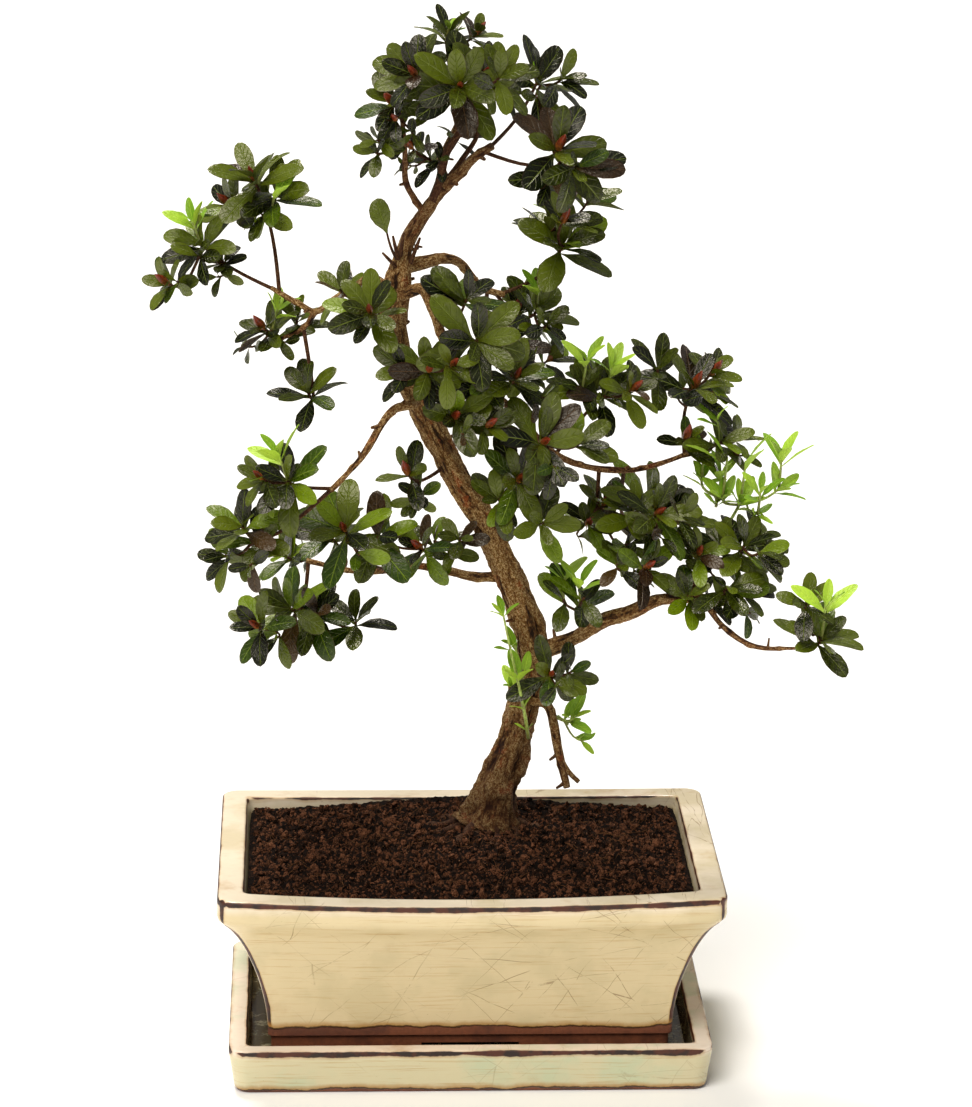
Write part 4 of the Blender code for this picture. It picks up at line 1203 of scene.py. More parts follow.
# ==== soil =================================================================================
@dataclass
class SoilBed:
    """The crumbly soil in the pot, with crumbs, fibres and surface roots on it."""

    half_length: float = 110.4
    half_depth: float = 70.4
    bow: float = 4.8
    level: float = 98.5
    back_rise: float = 5.0
    seat: Point = (13.0, 30.0, 104.2)
    seat_radius: float = 21.0
    skirt: float = 9.0
    skirt_taper: tuple = (0.975, 0.965)
    clear_of_trunk: float = 15.0
    columns: int = 170
    rows: int = 112
    crumbs: int = 8800
    hairs: int = 230
    seed: int = 7
    roots: tuple = ((186, 44, 2.6), (205, 52, 2.0), (222, 40, 2.8), (250, 26, 2.4),
                    (282, 30, 2.2), (318, 26, 2.0), (350, 24, 2.2), (160, 26, 2.0))

    def on_top(self, x: float, y: float, lift: float = 0.0) -> Vector:
        """Return the point of the crumbly surface at a place, or at a height above it."""
        reach = math.hypot(x - self.seat[0], y - self.seat[1])
        wall = min(self.half_length - abs(x), self.half_depth + self.bow - abs(y))
        share = clamp(wall / max(1.0, wall + reach - self.seat_radius))
        back = max(0.0, y / self.half_depth) * math.exp(-(x / 55.0) ** 2)
        edge = self.level + self.back_rise * back
        broad = noise.fractal(Vector((x * 0.045, y * 0.045, 3.0)), 1.0, 2.0, 3)
        fine = noise.fractal(Vector((x * 0.22, y * 0.22, 9.0)), 0.8, 2.1, 4)
        pits = noise.fractal(Vector((x * 0.48, y * 0.48, 5.0)), 0.6, 2.1, 3)
        relief = (1.8 * broad + 2.6 * fine + 1.3 * pits) * min(1.0, 0.35 + wall / 20.0)
        height = blend(edge, self.seat[2], math.sin(0.5 * math.pi * share)) + relief - 0.8
        return Vector((x, y, height + lift))

    def surface(self) -> None:
        """Build the surface, with a skirt down inside the pot."""
        bm = bmesh.new()
        bmesh.ops.create_grid(bm, x_segments=self.columns, y_segments=self.rows, size=1.0)
        for vert in bm.verts:
            u, v = vert.co.x, vert.co.y
            round_u = u * math.sqrt(1.0 - 0.022 * v ** 8)
            round_v = v * math.sqrt(1.0 - 0.036 * u ** 8)
            vert.co = self.on_top(self.half_length * round_u,
                                  (self.half_depth + self.bow * (1.0 - u * u)) * round_v)
        rim = [edge for edge in bm.edges if edge.is_boundary]
        grown = bmesh.ops.extrude_edge_only(bm, edges=rim)["geom"]
        for vert in members(grown, bmesh.types.BMVert):
            vert.co = (vert.co.x * self.skirt_taper[0], vert.co.y * self.skirt_taper[1],
                       self.level - self.skirt)
        bmesh.ops.contextual_create(bm, geom=members(grown, bmesh.types.BMEdge))
        bmesh.ops.recalc_face_normals(bm, faces=bm.faces)
        finish = Earth("soil", shade(12, 4, 1), shade(86, 56, 38))
        settle("soil_bed", bm, [finish], ["soil"])

    def spot(self, chance: random.Random, margin: float) -> Vector:
        """Return a chance place on the surface, clear of the walls and of the trunk."""
        while True:
            x = chance.uniform(-1, 1) * (self.half_length - margin)
            y = chance.uniform(-1, 1) * (self.half_depth - margin)
            if math.hypot(x - self.seat[0], y - self.seat[1]) > self.clear_of_trunk:
                return self.on_top(x, y)

    def crumb_model(self, number: int) -> Mesh:
        """Model one rough crumb of radius 1."""
        bm = bmesh.new()
        layer(bm.verts.layers.float, "tone")
        bmesh.ops.create_icosphere(bm, subdivisions=1, radius=0.8)
        for vert in bm.verts:
            vert.co += noise.noise_vector(vert.co * 1.4 + Vector((number * 5.0, 0, 0))) * 0.55
        return to_mesh(bm, "crumb")

    def litter(self) -> None:
        """Build the loose crumbs."""
        chance = random.Random(self.seed)
        noise.seed_set(self.seed)
        models = [self.crumb_model(number) for number in range(5)]
        bundle = Bundle()
        for number in range(self.crumbs):
            place = self.spot(chance, 2.5)
            size = chance.uniform(0.45, 1.0) * (3.0 if chance.random() < 0.13 else 1.5)
            stretch = (size * chance.uniform(0.7, 1.6), size, size * 0.75, 1.0)
            turn = Euler([chance.uniform(0, math.tau) for _ in range(3)]).to_matrix().to_4x4()
            matrix = Matrix.Translation(place) @ turn @ Matrix.Diagonal(stretch)
            bundle.stamp(models[number % len(models)], matrix, chance.random())
        finish = Earth("crumbs", shade(14, 5, 1), shade(106, 66, 44), shade(166, 122, 92))
        settle("soil_crumbs", bundle.bm, [finish], (), 0.5)

    def root_hairs(self) -> None:
        """Build the thin roots and fibres that lie tangled on the surface."""
        chance = random.Random(self.seed + 1)
        bundle = Bundle()
        for _ in range(self.hairs):
            place = self.spot(chance, 9.0)
            heading = chance.uniform(0, math.tau)
            pace = chance.uniform(1.6, 3.4)
            points = []
            for step in range(6):
                points.append(self.on_top(place.x, place.y, 0.4 + 0.9 * math.sin(step * 0.63)))
                heading += chance.uniform(-0.8, 0.8)
                place += Vector((math.cos(heading), math.sin(heading), 0.0)) * pace
                for axis, half in enumerate((self.half_length, self.half_depth)):
                    place[axis] = clamp(place[axis], 2 - half, half - 2)
            thick = chance.uniform(0.12, 0.26)
            bundle.limb(Wood(points, [thick] * 5 + [thick * 0.4]), 3)
        finish = Earth("root_hairs", shade(62, 38, 22), shade(116, 78, 48))
        settle("soil_root_hairs", bundle.bm, [finish])

    def surface_roots(self) -> None:
        """Build the thicker roots that run out over the soil from the trunk's flare."""
        chance = random.Random(self.seed + 2)
        bundle = Bundle()
        for heading, length, width in self.roots:
            angle = math.radians(heading)
            wood = Wood([], [])
            for share in (step / 8 for step in range(9)):
                angle += chance.uniform(-0.16, 0.16)
                reach = 9.0 + length * share
                wood.points.append(self.on_top(self.seat[0] + reach * math.cos(angle),
                                               self.seat[1] + reach * math.sin(angle),
                                               width * (0.7 - 1.6 * share)))
                wood.radii.append(blend(width, 0.5, share))
            bundle.limb(refined(wood, 2.0), 10, Relief(heading, 0.25, 0.16))
        settle("bark_surface_roots", bundle.bm, [ROOT_BARK])

    def build(self) -> None:
        """Build the surface and all that lies on it."""
        self.surface()
        self.litter()
        self.root_hairs()
        self.surface_roots()


# ==== foliage ==============================================================================
class Kind(Enum):
    """The kinds of leaf on the plant."""

    DARK = "dark"
    FRESH = "fresh"
    BRONZE = "bronze"
    LIME = "lime"


def blade_pair(name: str, dark: Colour, light: Colour, base: Colour, margin: Colour,
               gloss: float, under: Colour) -> tuple[LeafSkin, LeafSkin]:
    """Return the upper and the lower skin of a kind of leaf."""
    vein = tuple(min(1.0, 1.7 * part + 0.02) for part in light[:3]) + (1.0,)
    return (LeafSkin(name + "_upper", dark, light, vein, base, margin, gloss, 0.6, 0.48),
            LeafSkin(name + "_under", under, light, vein, base, margin, 0.55, 0.8, 0.15))


SKINS = {
    Kind.DARK: blade_pair("leaf_dark", shade(6, 14, 0), shade(86, 98, 12), shade(84, 92, 10),
                          shade(44, 24, 10), 0.19, shade(80, 86, 20)),
    Kind.FRESH: blade_pair("leaf_fresh", shade(40, 62, 0), shade(108, 130, 6),
                           shade(116, 126, 24), shade(62, 44, 18), 0.23, shade(108, 120, 38)),
    Kind.BRONZE: blade_pair("leaf_bronze", shade(34, 20, 8), shade(70, 48, 18),
                            shade(84, 70, 20), shade(60, 24, 14), 0.22, shade(78, 68, 28)),
    Kind.LIME: blade_pair("leaf_lime", shade(116, 160, 24), shade(172, 208, 60),
                          shade(194, 216, 96), shade(128, 168, 44), 0.34,
                          shade(176, 206, 84)),
}
STEM_SKIN = Sprout("young_stem", shade(132, 140, 66), shade(176, 200, 96), 0.5,
                   shade(116, 108, 48), 24.0)
BUD_SKIN = Sprout("bud", shade(156, 100, 42), shade(132, 44, 16), 0.32, shade(60, 20, 10))

FACING = 0.17                         # how far the rosettes turn to the front
VIEW_FALL = 0.28                      # drop of the line of sight for each millimetre of depth
CROWN_LEVEL = 440.0                   # above it leaves are darker and twigs finer
SIDE_RANK = 9                         # rank of a finer twig, after every shoot of the solids


class Mass(NamedTuple):
    """A foliage mass: the wood it springs from, the place of its middle shoot, how far its
    side shoots spread from there (a negative height is a rise), leaf length, shoots, turn, how
    many of its shoots bear a young lime-green sprout, how many leaves each rosette has where
    that isn't the usual number, and how far its middle rosette turns to the front."""

    name: str
    parent: str
    heart: tuple
    spread: tuple
    leaf: float
    shoots: int
    turn: float
    young: int = 0
    leaves: int = 0
    facing: float = FACING


MASSES = (
    Mass("crown_top", "bough_crown_middle", (-12, 16, 511), (14, 10, -2), 23, 2, 222, 1),
    Mass("crown_front", "bough_crown_middle", (-7, -20, 495), (26, 18, -6), 30, 4, 262, 0, 12,
         1.1),
    Mass("crown_right", "bough_crown_right", (32, 14, 489), (12, 10, -4), 27, 2, 203, 1),
    Mass("crown_left", "bough_crown_left", (-39, -16, 486), (9, 9, 24), 20, 4, 147),
    Mass("crown_inner", "bough_crown_middle", (-21, 8, 454), (16, 14, -12), 16, 3, 85),
    Mass("crown_right_end", "bough_crown_right", (40, -26, 464), (12, 10, 8), 29, 2, 178, 0, 10,
         0.3),
    Mass("right_shoulder", "bough_right_arch", (47, 40, 403), (18, 16, -22), 28, 4, 350, 1, 11,
         0.5),
    Mass("right_upper", "bough_right_arch", (34, 36, 371), (16, 14, 4), 25, 3, 10, 1),
    Mass("right_upper_front", "bough_hook", (2, -34, 373), (10, 14, -18), 29, 2, 343, 0, 0, 0.5),
    Mass("centre_front", "trunk", (-22, -36, 358), (16, 10, -4), 22, 3, 40),
    Mass("centre", "bough_hook", (21, -20, 350), (18, 12, 0), 25, 3, 300),
    Mass("centre_low", "bough_hook", (-9, -32, 334), (16, 8, 6), 25, 2, 222),
    Mass("centre_hanging", "bough_right_middle", (23, -20, 299), (14, 12, 20), 26, 3, 55),
    Mass("right_middle_front", "bough_right_middle", (34, -30, 321), (18, 8, 2), 28, 2, 222, 0,
         0, 0.4),
    Mass("right_middle", "bough_right_middle", (67, 8, 336), (20, 14, -6), 22, 4, 45, 2),
    Mass("right_middle_top", "bough_right_middle", (112, 26, 333), (18, 14, -12), 27, 3, 265),
    Mass("right_middle_end", "bough_right_middle", (126, 18, 309), (18, 12, 0), 21, 3, 265, 1),
    Mass("right_inner", "bough_right_middle", (67, 10, 278), (14, 14, 20), 20, 3, 75),
    Mass("right_crown", "bough_right_riser", (91, -18, 282), (18, 12, 2), 27, 3, 210),
    Mass("right_crown_end", "bough_right_riser", (136, -8, 261), (26, 22, 0), 24, 5, 15, 0, 0,
         0.3),
    Mass("right_young", "bough_right_riser", (136, 14, 277), (24, 10, -12), 18, 4, 90, 4, 6),
    Mass("right_low_inner", "bough_right_lower", (86, -22, 256), (14, 8, 0), 20, 2, 42),
    Mass("right_low", "bough_right_lower", (127, -24, 244), (20, 12, 2), 24, 3, 270),
    Mass("right_tip", "bough_right_tip", (172, -42, 222), (8, 8, -20), 24, 2, 42, 1),
    Mass("trunk_right", "bough_right_lower", (55, -10, 232), (16, 8, -6), 25, 3, 0, 2, 4),
    Mass("trunk_low_right", "trunk", (41, -6, 195), (10, 8, 0), 22, 2, 222, 0, 6),
    Mass("basal_left", "trunk", (24, 4, 184), (7, 6, -20), 16, 3, 180, 3, 2),
    Mass("basal_right", "stub_pruned", (53, 2, 169), (8, 6, 6), 16, 2, 330, 2, 4),
    Mass("lower_left_top", "bough_left_middle", (-90, -48, 307), (12, 8, 0), 24, 2, 42, 1),
    Mass("lower_left_outer", "bough_left_middle", (-112, -44, 282), (12, 10, 16), 23, 3, 220),
    Mass("lower_left_front", "bough_left_lower", (-62, -22, 274), (16, 10, 2), 30, 2, 222, 0, 0,
         0.4),
    Mass("lower_left_low", "bough_left_lower", (-89, 14, 225), (34, 18, 8), 26, 5, 185),
    Mass("left_low_inner", "bough_left_lower", (-24, 8, 258), (22, 12, -4), 20, 4, 280),
    Mass("trunk_left", "trunk", (-31, -12, 300), (6, 6, 12), 20, 2, 222, 0, 5),
    Mass("left_hanging", "bough_left_fork", (-80, 18, 334), (0, 0, 0), 22, 1, 0),
    Mass("left_inner", "bough_left_fork", (-98, 28, 363), (14, 10, -4), 20, 3, 110, 1),
    Mass("left_far", "bough_left_upper", (-133, 30, 407), (16, 12, 20), 22, 4, 125, 1),
    Mass("left_top", "bough_left_upper", (-106, 30, 438), (15, 8, 14), 28, 3, 222),
    Mass("left_near", "bough_left_upper", (-50, -34, 386), (20, 34, -5), 25, 2, 358, 0, 0, 0.4),
    Mass("back_upper", "bough_right_arch", (19, 62, 348), (24, 14, 8), 27, 2, 240),
    Mass("back_right", "bough_right_middle", (94, 60, 267), (26, 16, 10), 27, 2, 10),
    Mass("back_left", "bough_left_lower", (-69, 66, 247), (26, 16, 8), 27, 2, 75),
)
FRONT_MASSES = ("trunk_left", "trunk_low_right", "basal_left", "centre_front")
OPEN_LIMBS = (
    ("trunk", 0.12, 0.74), ("bough_right_lower", 0.10, 0.85), ("bough_right_middle", 0.35, 0.95),
    ("bough_left_middle", 0.05, 0.9), ("bough_right_arch", 0.05, 0.6), ("trunk", 0.78, 1.0),
)


class Shoot(NamedTuple):
    """The leafy end of a twig: its place, the way it points, and the length of its leaves."""

    tip: Vector
    axis: Vector
    leaf: float
    turn: float


class Blade(NamedTuple):
    """One leaf as placed: its matrix, its kind, and its tone."""

    matrix: Matrix
    kind: Kind
    tone: float


def outward(point: Vector) -> Vector:
    """Return the level direction from the trunk's line to a point."""
    near = min(TRUNK_ROUTE, key=lambda knot: abs(knot[2] - point.z))
    away = Vector((point.x - near[0], point.y - near[1], 0.0))
    return away.normalized() if away.length > 1.0 else Vector((0.0, -1.0, 0.0))


def mass_shoots(mass: Mass, seed: int) -> list[Shoot]:
    """Spread a mass's shoots from its heart by the golden angle."""
    chance = random.Random(seed)
    shoots = []
    wide, deep, drop = mass.spread
    for i in range(mass.shoots):
        share = i / max(1, mass.shoots - 1)
        angle = math.radians(mass.turn) + i * GOLDEN_TURN
        step = Vector((wide * math.sqrt(share) * math.cos(angle),
                       deep * math.sqrt(share) * math.sin(angle),
                       -drop * share + chance.uniform(-1.5, 1.5)))
        tip = Vector(mass.heart) + step
        away = outward(tip) * 0.45 + step.normalized() * 0.3 + LIGHT
        size = mass.leaf * (1.0 if i == 0 else 0.82 * chance.uniform(0.9, 1.1))
        shoots.append(Shoot(tip, away.normalized(), size, chance.uniform(0.0, math.tau)))
    return shoots


def finer_shoots(mass: Mass, seed: int) -> list[Shoot]:
    """Return the smaller shoots that fill a mass between those of its solid."""
    chance = random.Random(1000 + seed)
    shoots = []
    wide, deep, drop = mass.spread
    edge = mass.heart[0] > 85.0 or mass.heart[0] < -45.0 or mass.heart[2] > CROWN_LEVEL
    for i in range(min(mass.shoots - 1, 2 if edge else 1)):
        angle = math.radians(mass.turn) + (i + 0.5) * GOLDEN_TURN
        reach = chance.uniform(0.6, 1.0)
        step = Vector(((7.0 + 0.55 * wide) * reach * math.cos(angle),
                       (7.0 + 0.55 * deep) * reach * math.sin(angle),
                       -0.5 * drop - chance.uniform(4.0, 11.0)))
        tip = Vector(mass.heart) + step
        away = outward(tip) * 0.6 + step.normalized() * 0.6 + LIGHT * 0.7
        shoots.append(Shoot(tip, away.normalized(), mass.leaf * chance.uniform(0.58, 0.74),
                            chance.uniform(0.0, math.tau)))
    return shoots


def grow_twig(root: Vector, shoot: Shoot, start: float, end: float, parts: int) -> Wood:
    """Return wood that leaves a root sideways and turns along the shoot's axis."""
    bend = shoot.tip - shoot.axis * (0.45 * (shoot.tip - root).length)
    points = interpolate_bezier(root, root.lerp(bend, 0.6), bend, shoot.tip, parts + 1)
    return Wood(points, [blend(start, end, i / parts) / 2 for i in range(parts + 1)])


def placed(columns: Sequence[Vector], place: Vector) -> Matrix:
    """Return the matrix that has three columns and a place."""
    matrix = Matrix(columns).transposed().to_4x4()
    matrix.translation = place
    return matrix


def across_axis(axis: Vector) -> tuple[Vector, Vector]:
    """Return two directions square to an axis and to each other."""
    side_way = axis.orthogonal().normalized()
    return side_way, axis.cross(side_way)


@dataclass
class LeafShape:
    """The modelled leaf: a thin lens with an outline of its own, bent and folded.

    Args:
        width: widest part, as a share of its length.
        bend: how far it bends down along its length, in radians.
        fold: how far its halves rise from the midrib.
        widest: where it is widest, as a share of its length.
        blunt: how round its tip is; 2 makes it an ellipse.
        columns: faces across.
        rows: places of the rows of points along the leaf.
        bulge: how far its upper and its lower skin stand off its middle.
    """

    width: float
    bend: float
    fold: float
    widest: float = 0.60
    blunt: float = 2.0
    columns: int = 4
    rows: tuple = (0.0, 0.13, 0.34, 0.55, 0.74, 0.88, 0.96, 1.0)
    bulge: tuple = (0.010, 0.006)

    def half_width(self, along: float) -> float:
        """Return half the leaf's width at a share of its length."""
        if along > self.widest:
            reach = (along - self.widest) / (1.0 - self.widest)
            share = max(0.05, math.sqrt(max(0.0, 1.0 - reach ** self.blunt)))
        else:
            share = max(0.09, math.sin(0.5 * math.pi * along / self.widest) ** 1.25)
        return 0.5 * self.width * share

    def spot(self, across: float, along: float) -> Point:
        """Return the place of a point across (-1 to 1) and along (0 to 1) the leaf."""
        half = self.half_width(along)
        turn = self.bend * along
        lift = self.fold * abs(across) * half * (1.0 - 0.4 * abs(across))
        ripple = 0.012 * math.sin(9.0 * along + 2.0 * across) * abs(across)
        return (across * half, math.sin(turn) / self.bend + lift * math.sin(turn),
                (math.cos(turn) - 1.0) / self.bend + lift * math.cos(turn) + ripple)

    def model(self) -> Mesh:
        """Model a leaf of length 1 along +Y, with its upper side towards +Z."""
        bm = bmesh.new()
        uv = bm.loops.layers.uv.new("blade")
        layer(bm.verts.layers.float, "tone")
        bmesh.ops.create_grid(bm, x_segments=self.columns, y_segments=len(self.rows) - 1,
                              size=0.5)
        spots = {vert: (vert.co.x * 2.0,
                        self.rows[round((vert.co.y + 0.5) * (len(self.rows) - 1))])
                 for vert in bm.verts}
        for face in bm.faces:
            for loop in face.loops:
                loop[uv].uv = (0.5 + 0.5 * spots[loop.vert][0], spots[loop.vert][1])
        for vert, spot in spots.items():
            vert.co = self.spot(*spot)
        for edge in bm.edges:
            edge.smooth = not edge.is_boundary
        outline = [vert for vert in bm.verts if vert.is_boundary]
        inner = [vert for vert in bm.verts if not vert.is_boundary]
        made = bmesh.ops.duplicate(bm, geom=bm.verts[:] + bm.edges[:] + bm.faces[:])
        lower = members(made["geom"], bmesh.types.BMFace)
        bmesh.ops.reverse_faces(bm, faces=lower)
        for face in lower:
            face.material_index = 1
        for vert in inner:
            vert.co.z += self.bulge[0]
            made["vert_map"][vert].co.z -= self.bulge[1]
        seam = outline + [made["vert_map"][vert] for vert in outline]
        bmesh.ops.remove_doubles(bm, verts=seam, dist=1e-5)
        return to_mesh(bm, "blade")


@dataclass
class Crown:
    """Everything that grows on the limbs: twigs, rosettes of leaves, buds and sprouts.

    Args:
        limbs: the trunk and the boughs.
        rosette_leaves: usual number of leaves in a rosette.
        leaf_scale: size of a leaf against that of its mass.
        bud_chance: chance of a bud on a side twig, and what a middle twig has on top of it.
        fresh: share of fresh leaves high up, in the crown, and low down on the left and right.
        fresh_from: height below which they become commoner, and how soon.
        bronze_from: draw, out of 1, from which a leaf is bronze.
        small_sprouts: height above which sprouts are small.
        guarded: whether leaves keep from hanging in front of open limbs.
        reach: how far from a leaf's foot it can still hide a place.
        leaf_outline: a leaf's rough outline.
        forks: routes and widths of the thin forks in the crown.
        stubs: feet and ends of the dead stubs under the crown.
        lanky: route of the long young shoot at the trunk's foot.
        lanky_leaves: place along it, leaf length and number of leaves of each of its whorls.
    """

    limbs: Limbs
    rosette_leaves: int = 10
    leaf_scale: float = 1.02
    bud_chance: tuple = (0.28, 0.45)
    fresh: tuple = (0.08, 0.03, 0.34, 0.18)
    fresh_from: tuple = (330.0, 60.0)
    bronze_from: float = 0.955
    small_sprouts: float = 470.0
    guarded: bool = True
    reach: float = 34.0
    twigs: list = field(default_factory=list)
    blades: list = field(default_factory=list)
    buds: list = field(default_factory=list)
    lime_stems: list = field(default_factory=list)
    outlines: list = field(default_factory=list)
    leaf_outline: tuple = ((0.0, 0.08, 0.0), (0.18, 0.42, 0.0), (0.20, 0.76, -0.1),
                           (0.0, 0.95, -0.2), (-0.20, 0.76, -0.1), (-0.18, 0.42, 0.0))
    forks: tuple = (
        (((-19, -1, 434), (-16, -2, 443.3), (-14.3, -3, 452.2), (-11.5, -5, 461),
          (-5.4, -6, 470.9), (-3, -9, 482)), (5.6, 4.6, 4.2, 3.6, 2.8, 2)),
        (((-13, -1, 443), (-8.4, -1, 449.2), (-4.5, 1, 454.7), (1.3, 2, 463.3),
          (4.6, 1, 473.3)), (4, 3.2, 2.8, 2.4, 1.8)),
    )
    stubs: tuple = (((-30, -5, 404), (-25.4, -7, 417)),
                    ((-36, -5, 406), (-38.6, -8, 418)),
                    ((-35, -6, 408), (-33.4, -10, 420)),
                    ((-37, -4, 402), (-43.6, -7, 409.5)))
    lanky: tuple = ((30.5, 4, 158), (28.4, -5, 172), (25.4, -8, 187),
                    (21, -8, 206), (16.8, -8, 226))
    lanky_leaves: tuple = ((0.12, 9, 2), (0.34, 11, 2), (0.58, 21, 3), (0.78, 10, 2),
                           (1, 12, 4))

    def __post_init__(self) -> None:
        """Gather the limbs' own solids, which no leaf may cross, and their open stretches."""
        verts: list = []
        faces: list = []
        for name, item in frame["nodes"].items():
            if name.startswith(("trunk", "bough_", "stub_")):
                start = len(verts)
                verts += [vert.co / MM for vert in item.data.vertices]
                faces += [tuple(start + index for index in face.vertices)
                          for face in item.data.polygons]
        self.solid = BVHTree.FromPolygons(verts, faces)
        self.open_line: list = []
        for name, start, end in OPEN_LIMBS:
            wood = self.limbs.woods[name]
            last = len(wood.points) - 1
            steps = max(2, round((end - start) * last * 3))
            self.open_line += [point_at(wood, last * blend(start, end, step / steps))
                               for step in range(steps + 1)]

    def hides_wood(self, points: Sequence[Vector]) -> bool:
        """Tell whether a leaf would hang in front of a limb or a rosette that stands open."""
        outline = [(point.x, point.z + VIEW_FALL * point.y) for point in points]
        near = sum(point.y for point in points) / len(points)
        for spot in self.open_line:
            x, z = spot.x, spot.z + VIEW_FALL * spot.y
            if near > spot.y or max(abs(x - outline[0][0]),
                                    abs(z - outline[0][1])) > self.reach:
                continue
            if sum((z0 > z) != (z1 > z) and x < x0 + (z - z0) * (x1 - x0) / (z1 - z0)
                   for (x0, z0), (x1, z1) in zip(outline, outline[1:] + outline[:1])) % 2:
                return True
        return False

    def fits(self, matrix: Matrix) -> bool:
        """Tell whether a leaf would cross neither a limb nor an earlier leaf, and note it."""
        points = [matrix @ Vector(corner) for corner in self.leaf_outline]
        if self.guarded and self.hides_wood(points):
            return False
        blade = BVHTree.FromPolygons(points, [range(len(points))])
        if blade.overlap(self.solid):
            return False
        centre = points[0].lerp(points[3], 0.5)
        reach = (points[3] - points[0]).length
        if any((centre - other_centre).length < 0.62 * (reach + other_reach)
               and blade.overlap(other) for other_centre, other_reach, other in self.outlines):
            return False
        self.outlines.append((centre, reach, blade))
        return True

    def rosette(self, shoot: Shoot, twig: Wood, count: int, kind: Kind,
                chance: random.Random, fresh: float = 0.0) -> None:
        """Set a spiral of leaves on the end of a twig, the lowest largest and flattest.

        Args:
            shoot: leafy end of the twig.
            twig: the twig itself.
            count: number of leaves.
            kind: kind of most of its leaves.
            chance: source of random draws.
            fresh: share of lighter leaves among dark ones.
        """
        axis = shoot.axis
        side_way, other_way = across_axis(axis)
        mood = chance.random()
        steep = 50.0 if kind is Kind.LIME else 84.0
        for index in range(count):
            share = index / max(1, count - 1)
            size = self.leaf_scale * shoot.leaf * blend(1.03, 0.70, share ** 1.5)
            size *= chance.uniform(0.88, 1.08)
            leaf_kind = kind
            if kind is Kind.DARK:
                draw = chance.random()
                if draw < fresh * (1.5 - share):
                    leaf_kind = Kind.FRESH
                elif draw > self.bronze_from:
                    leaf_kind = Kind.BRONZE
            for swing in (0, 22, -22, 44, -44):
                angle = shoot.turn + index * GOLDEN_TURN + math.radians(
                    swing + chance.uniform(-9, 9))
                radial = side_way * math.cos(angle) + other_way * math.sin(angle)
                tilt = math.radians(blend(steep, 28.0, share) + chance.uniform(-9, 9))
                along = axis * math.cos(tilt) + radial * math.sin(tilt)
                roll = Matrix.Rotation(math.radians(chance.uniform(-26, 26)), 3, along)
                normal = roll @ (axis * math.sin(tilt) - radial * math.cos(tilt))
                root = point_below_tip(twig, blend(5.0, 0.3, share))
                matrix = placed((along.cross(normal) * size, along * size, normal * size), root)
                if self.fits(matrix):
                    tone = 0.3 * mood + chance.uniform(-0.2, 0.85)
                    tone = clamp(tone - (0.2 if root.z > CROWN_LEVEL else 0.0))
                    self.blades.append(Blade(matrix, leaf_kind, tone))
                    break

    def bud(self, shoot: Shoot, length: float) -> None:
        """Set a pointed bud on the end of a shoot."""
        side_way, other_way = across_axis(shoot.axis)
        wide = length * 0.34
        self.buds.append((placed((side_way * wide, other_way * wide, shoot.axis * length),
                                 shoot.tip - shoot.axis * (0.12 * length)),
                          shoot.turn / math.tau))

    def sprout(self, shoot: Shoot, length: float, leaf: float, count: int,
               chance: random.Random) -> None:
        """Set a young upright sprout beside the tip of a shoot."""
        lean = Vector((chance.uniform(-0.30, 0.30), chance.uniform(-0.40, 0.0), 1.0))
        axis = lean.normalized()
        young = Shoot(shoot.tip + axis * length, axis, leaf, shoot.turn)
        self.lime_stems.append(grow_twig(shoot.tip - shoot.axis, young, 1.6, 1.1, 5))
        self.rosette(young, self.lime_stems[-1], count, Kind.LIME, chance)

    def leafy(self, shoot: Shoot, twig: Wood, mass: Mass, rank: int,
              chance: random.Random) -> None:
        """Clothe one twig: a rosette, then a bud or a sprout.

        Args:
            shoot: leafy end of the twig.
            twig: the twig itself.
            mass: foliage mass that it belongs to.
            rank: its number within the mass; SIDE_RANK marks one of the finer twigs.
            chance: source of random draws.
        """
        if mass.young >= mass.shoots:
            self.lime_stems.append(twig)
            self.rosette(shoot, twig, mass.leaves, Kind.LIME, chance)
            if mass.leaf > 16:
                self.sprout(shoot, chance.uniform(12.0, 22.0), 1.35 * shoot.leaf, 5, chance)
            return
        self.twigs.append(twig)
        turn = Vector((0.0, FACING if rank else mass.facing, 0.0))
        shoot = shoot._replace(axis=(shoot.axis - turn).normalized())
        count = mass.leaves or self.rosette_leaves - (2 if mass.leaf < 22 else 0)
        count -= rank > 0 and count > 6
        high, crown, left, right = self.fresh
        fresh = blend(high, left if mass.heart[0] < -40.0 else right,
                      clamp((self.fresh_from[0] - mass.heart[2]) / self.fresh_from[1]))
        if mass.heart[2] > CROWN_LEVEL:
            fresh = crown
        first = len(self.blades)
        self.rosette(shoot, twig, count if rank < SIDE_RANK else min(count, 5), Kind.DARK,
                     chance, fresh)
        if rank == 0 and mass.facing > FACING:
            self.open_line.append(shoot.tip)
            self.open_line += [blade.matrix @ Vector((0.0, share, 0.0))
                               for blade in self.blades[first:] for share in (0.35, 0.65, 0.9)]
        if rank < mass.young and mass.heart[2] > self.small_sprouts:
            self.sprout(shoot, 5.0, 10.0, 4, chance)
        elif rank < mass.young:
            self.sprout(shoot, chance.uniform(10.0, 20.0),
                        min(0.85 * mass.leaf, chance.uniform(18.0, 24.0)), 5, chance)
        elif rank < SIDE_RANK and chance.random() < (self.bud_chance[0]
                                                     + self.bud_chance[1] * (rank == 0)):
            self.bud(shoot, chance.uniform(9.5, 14.0))

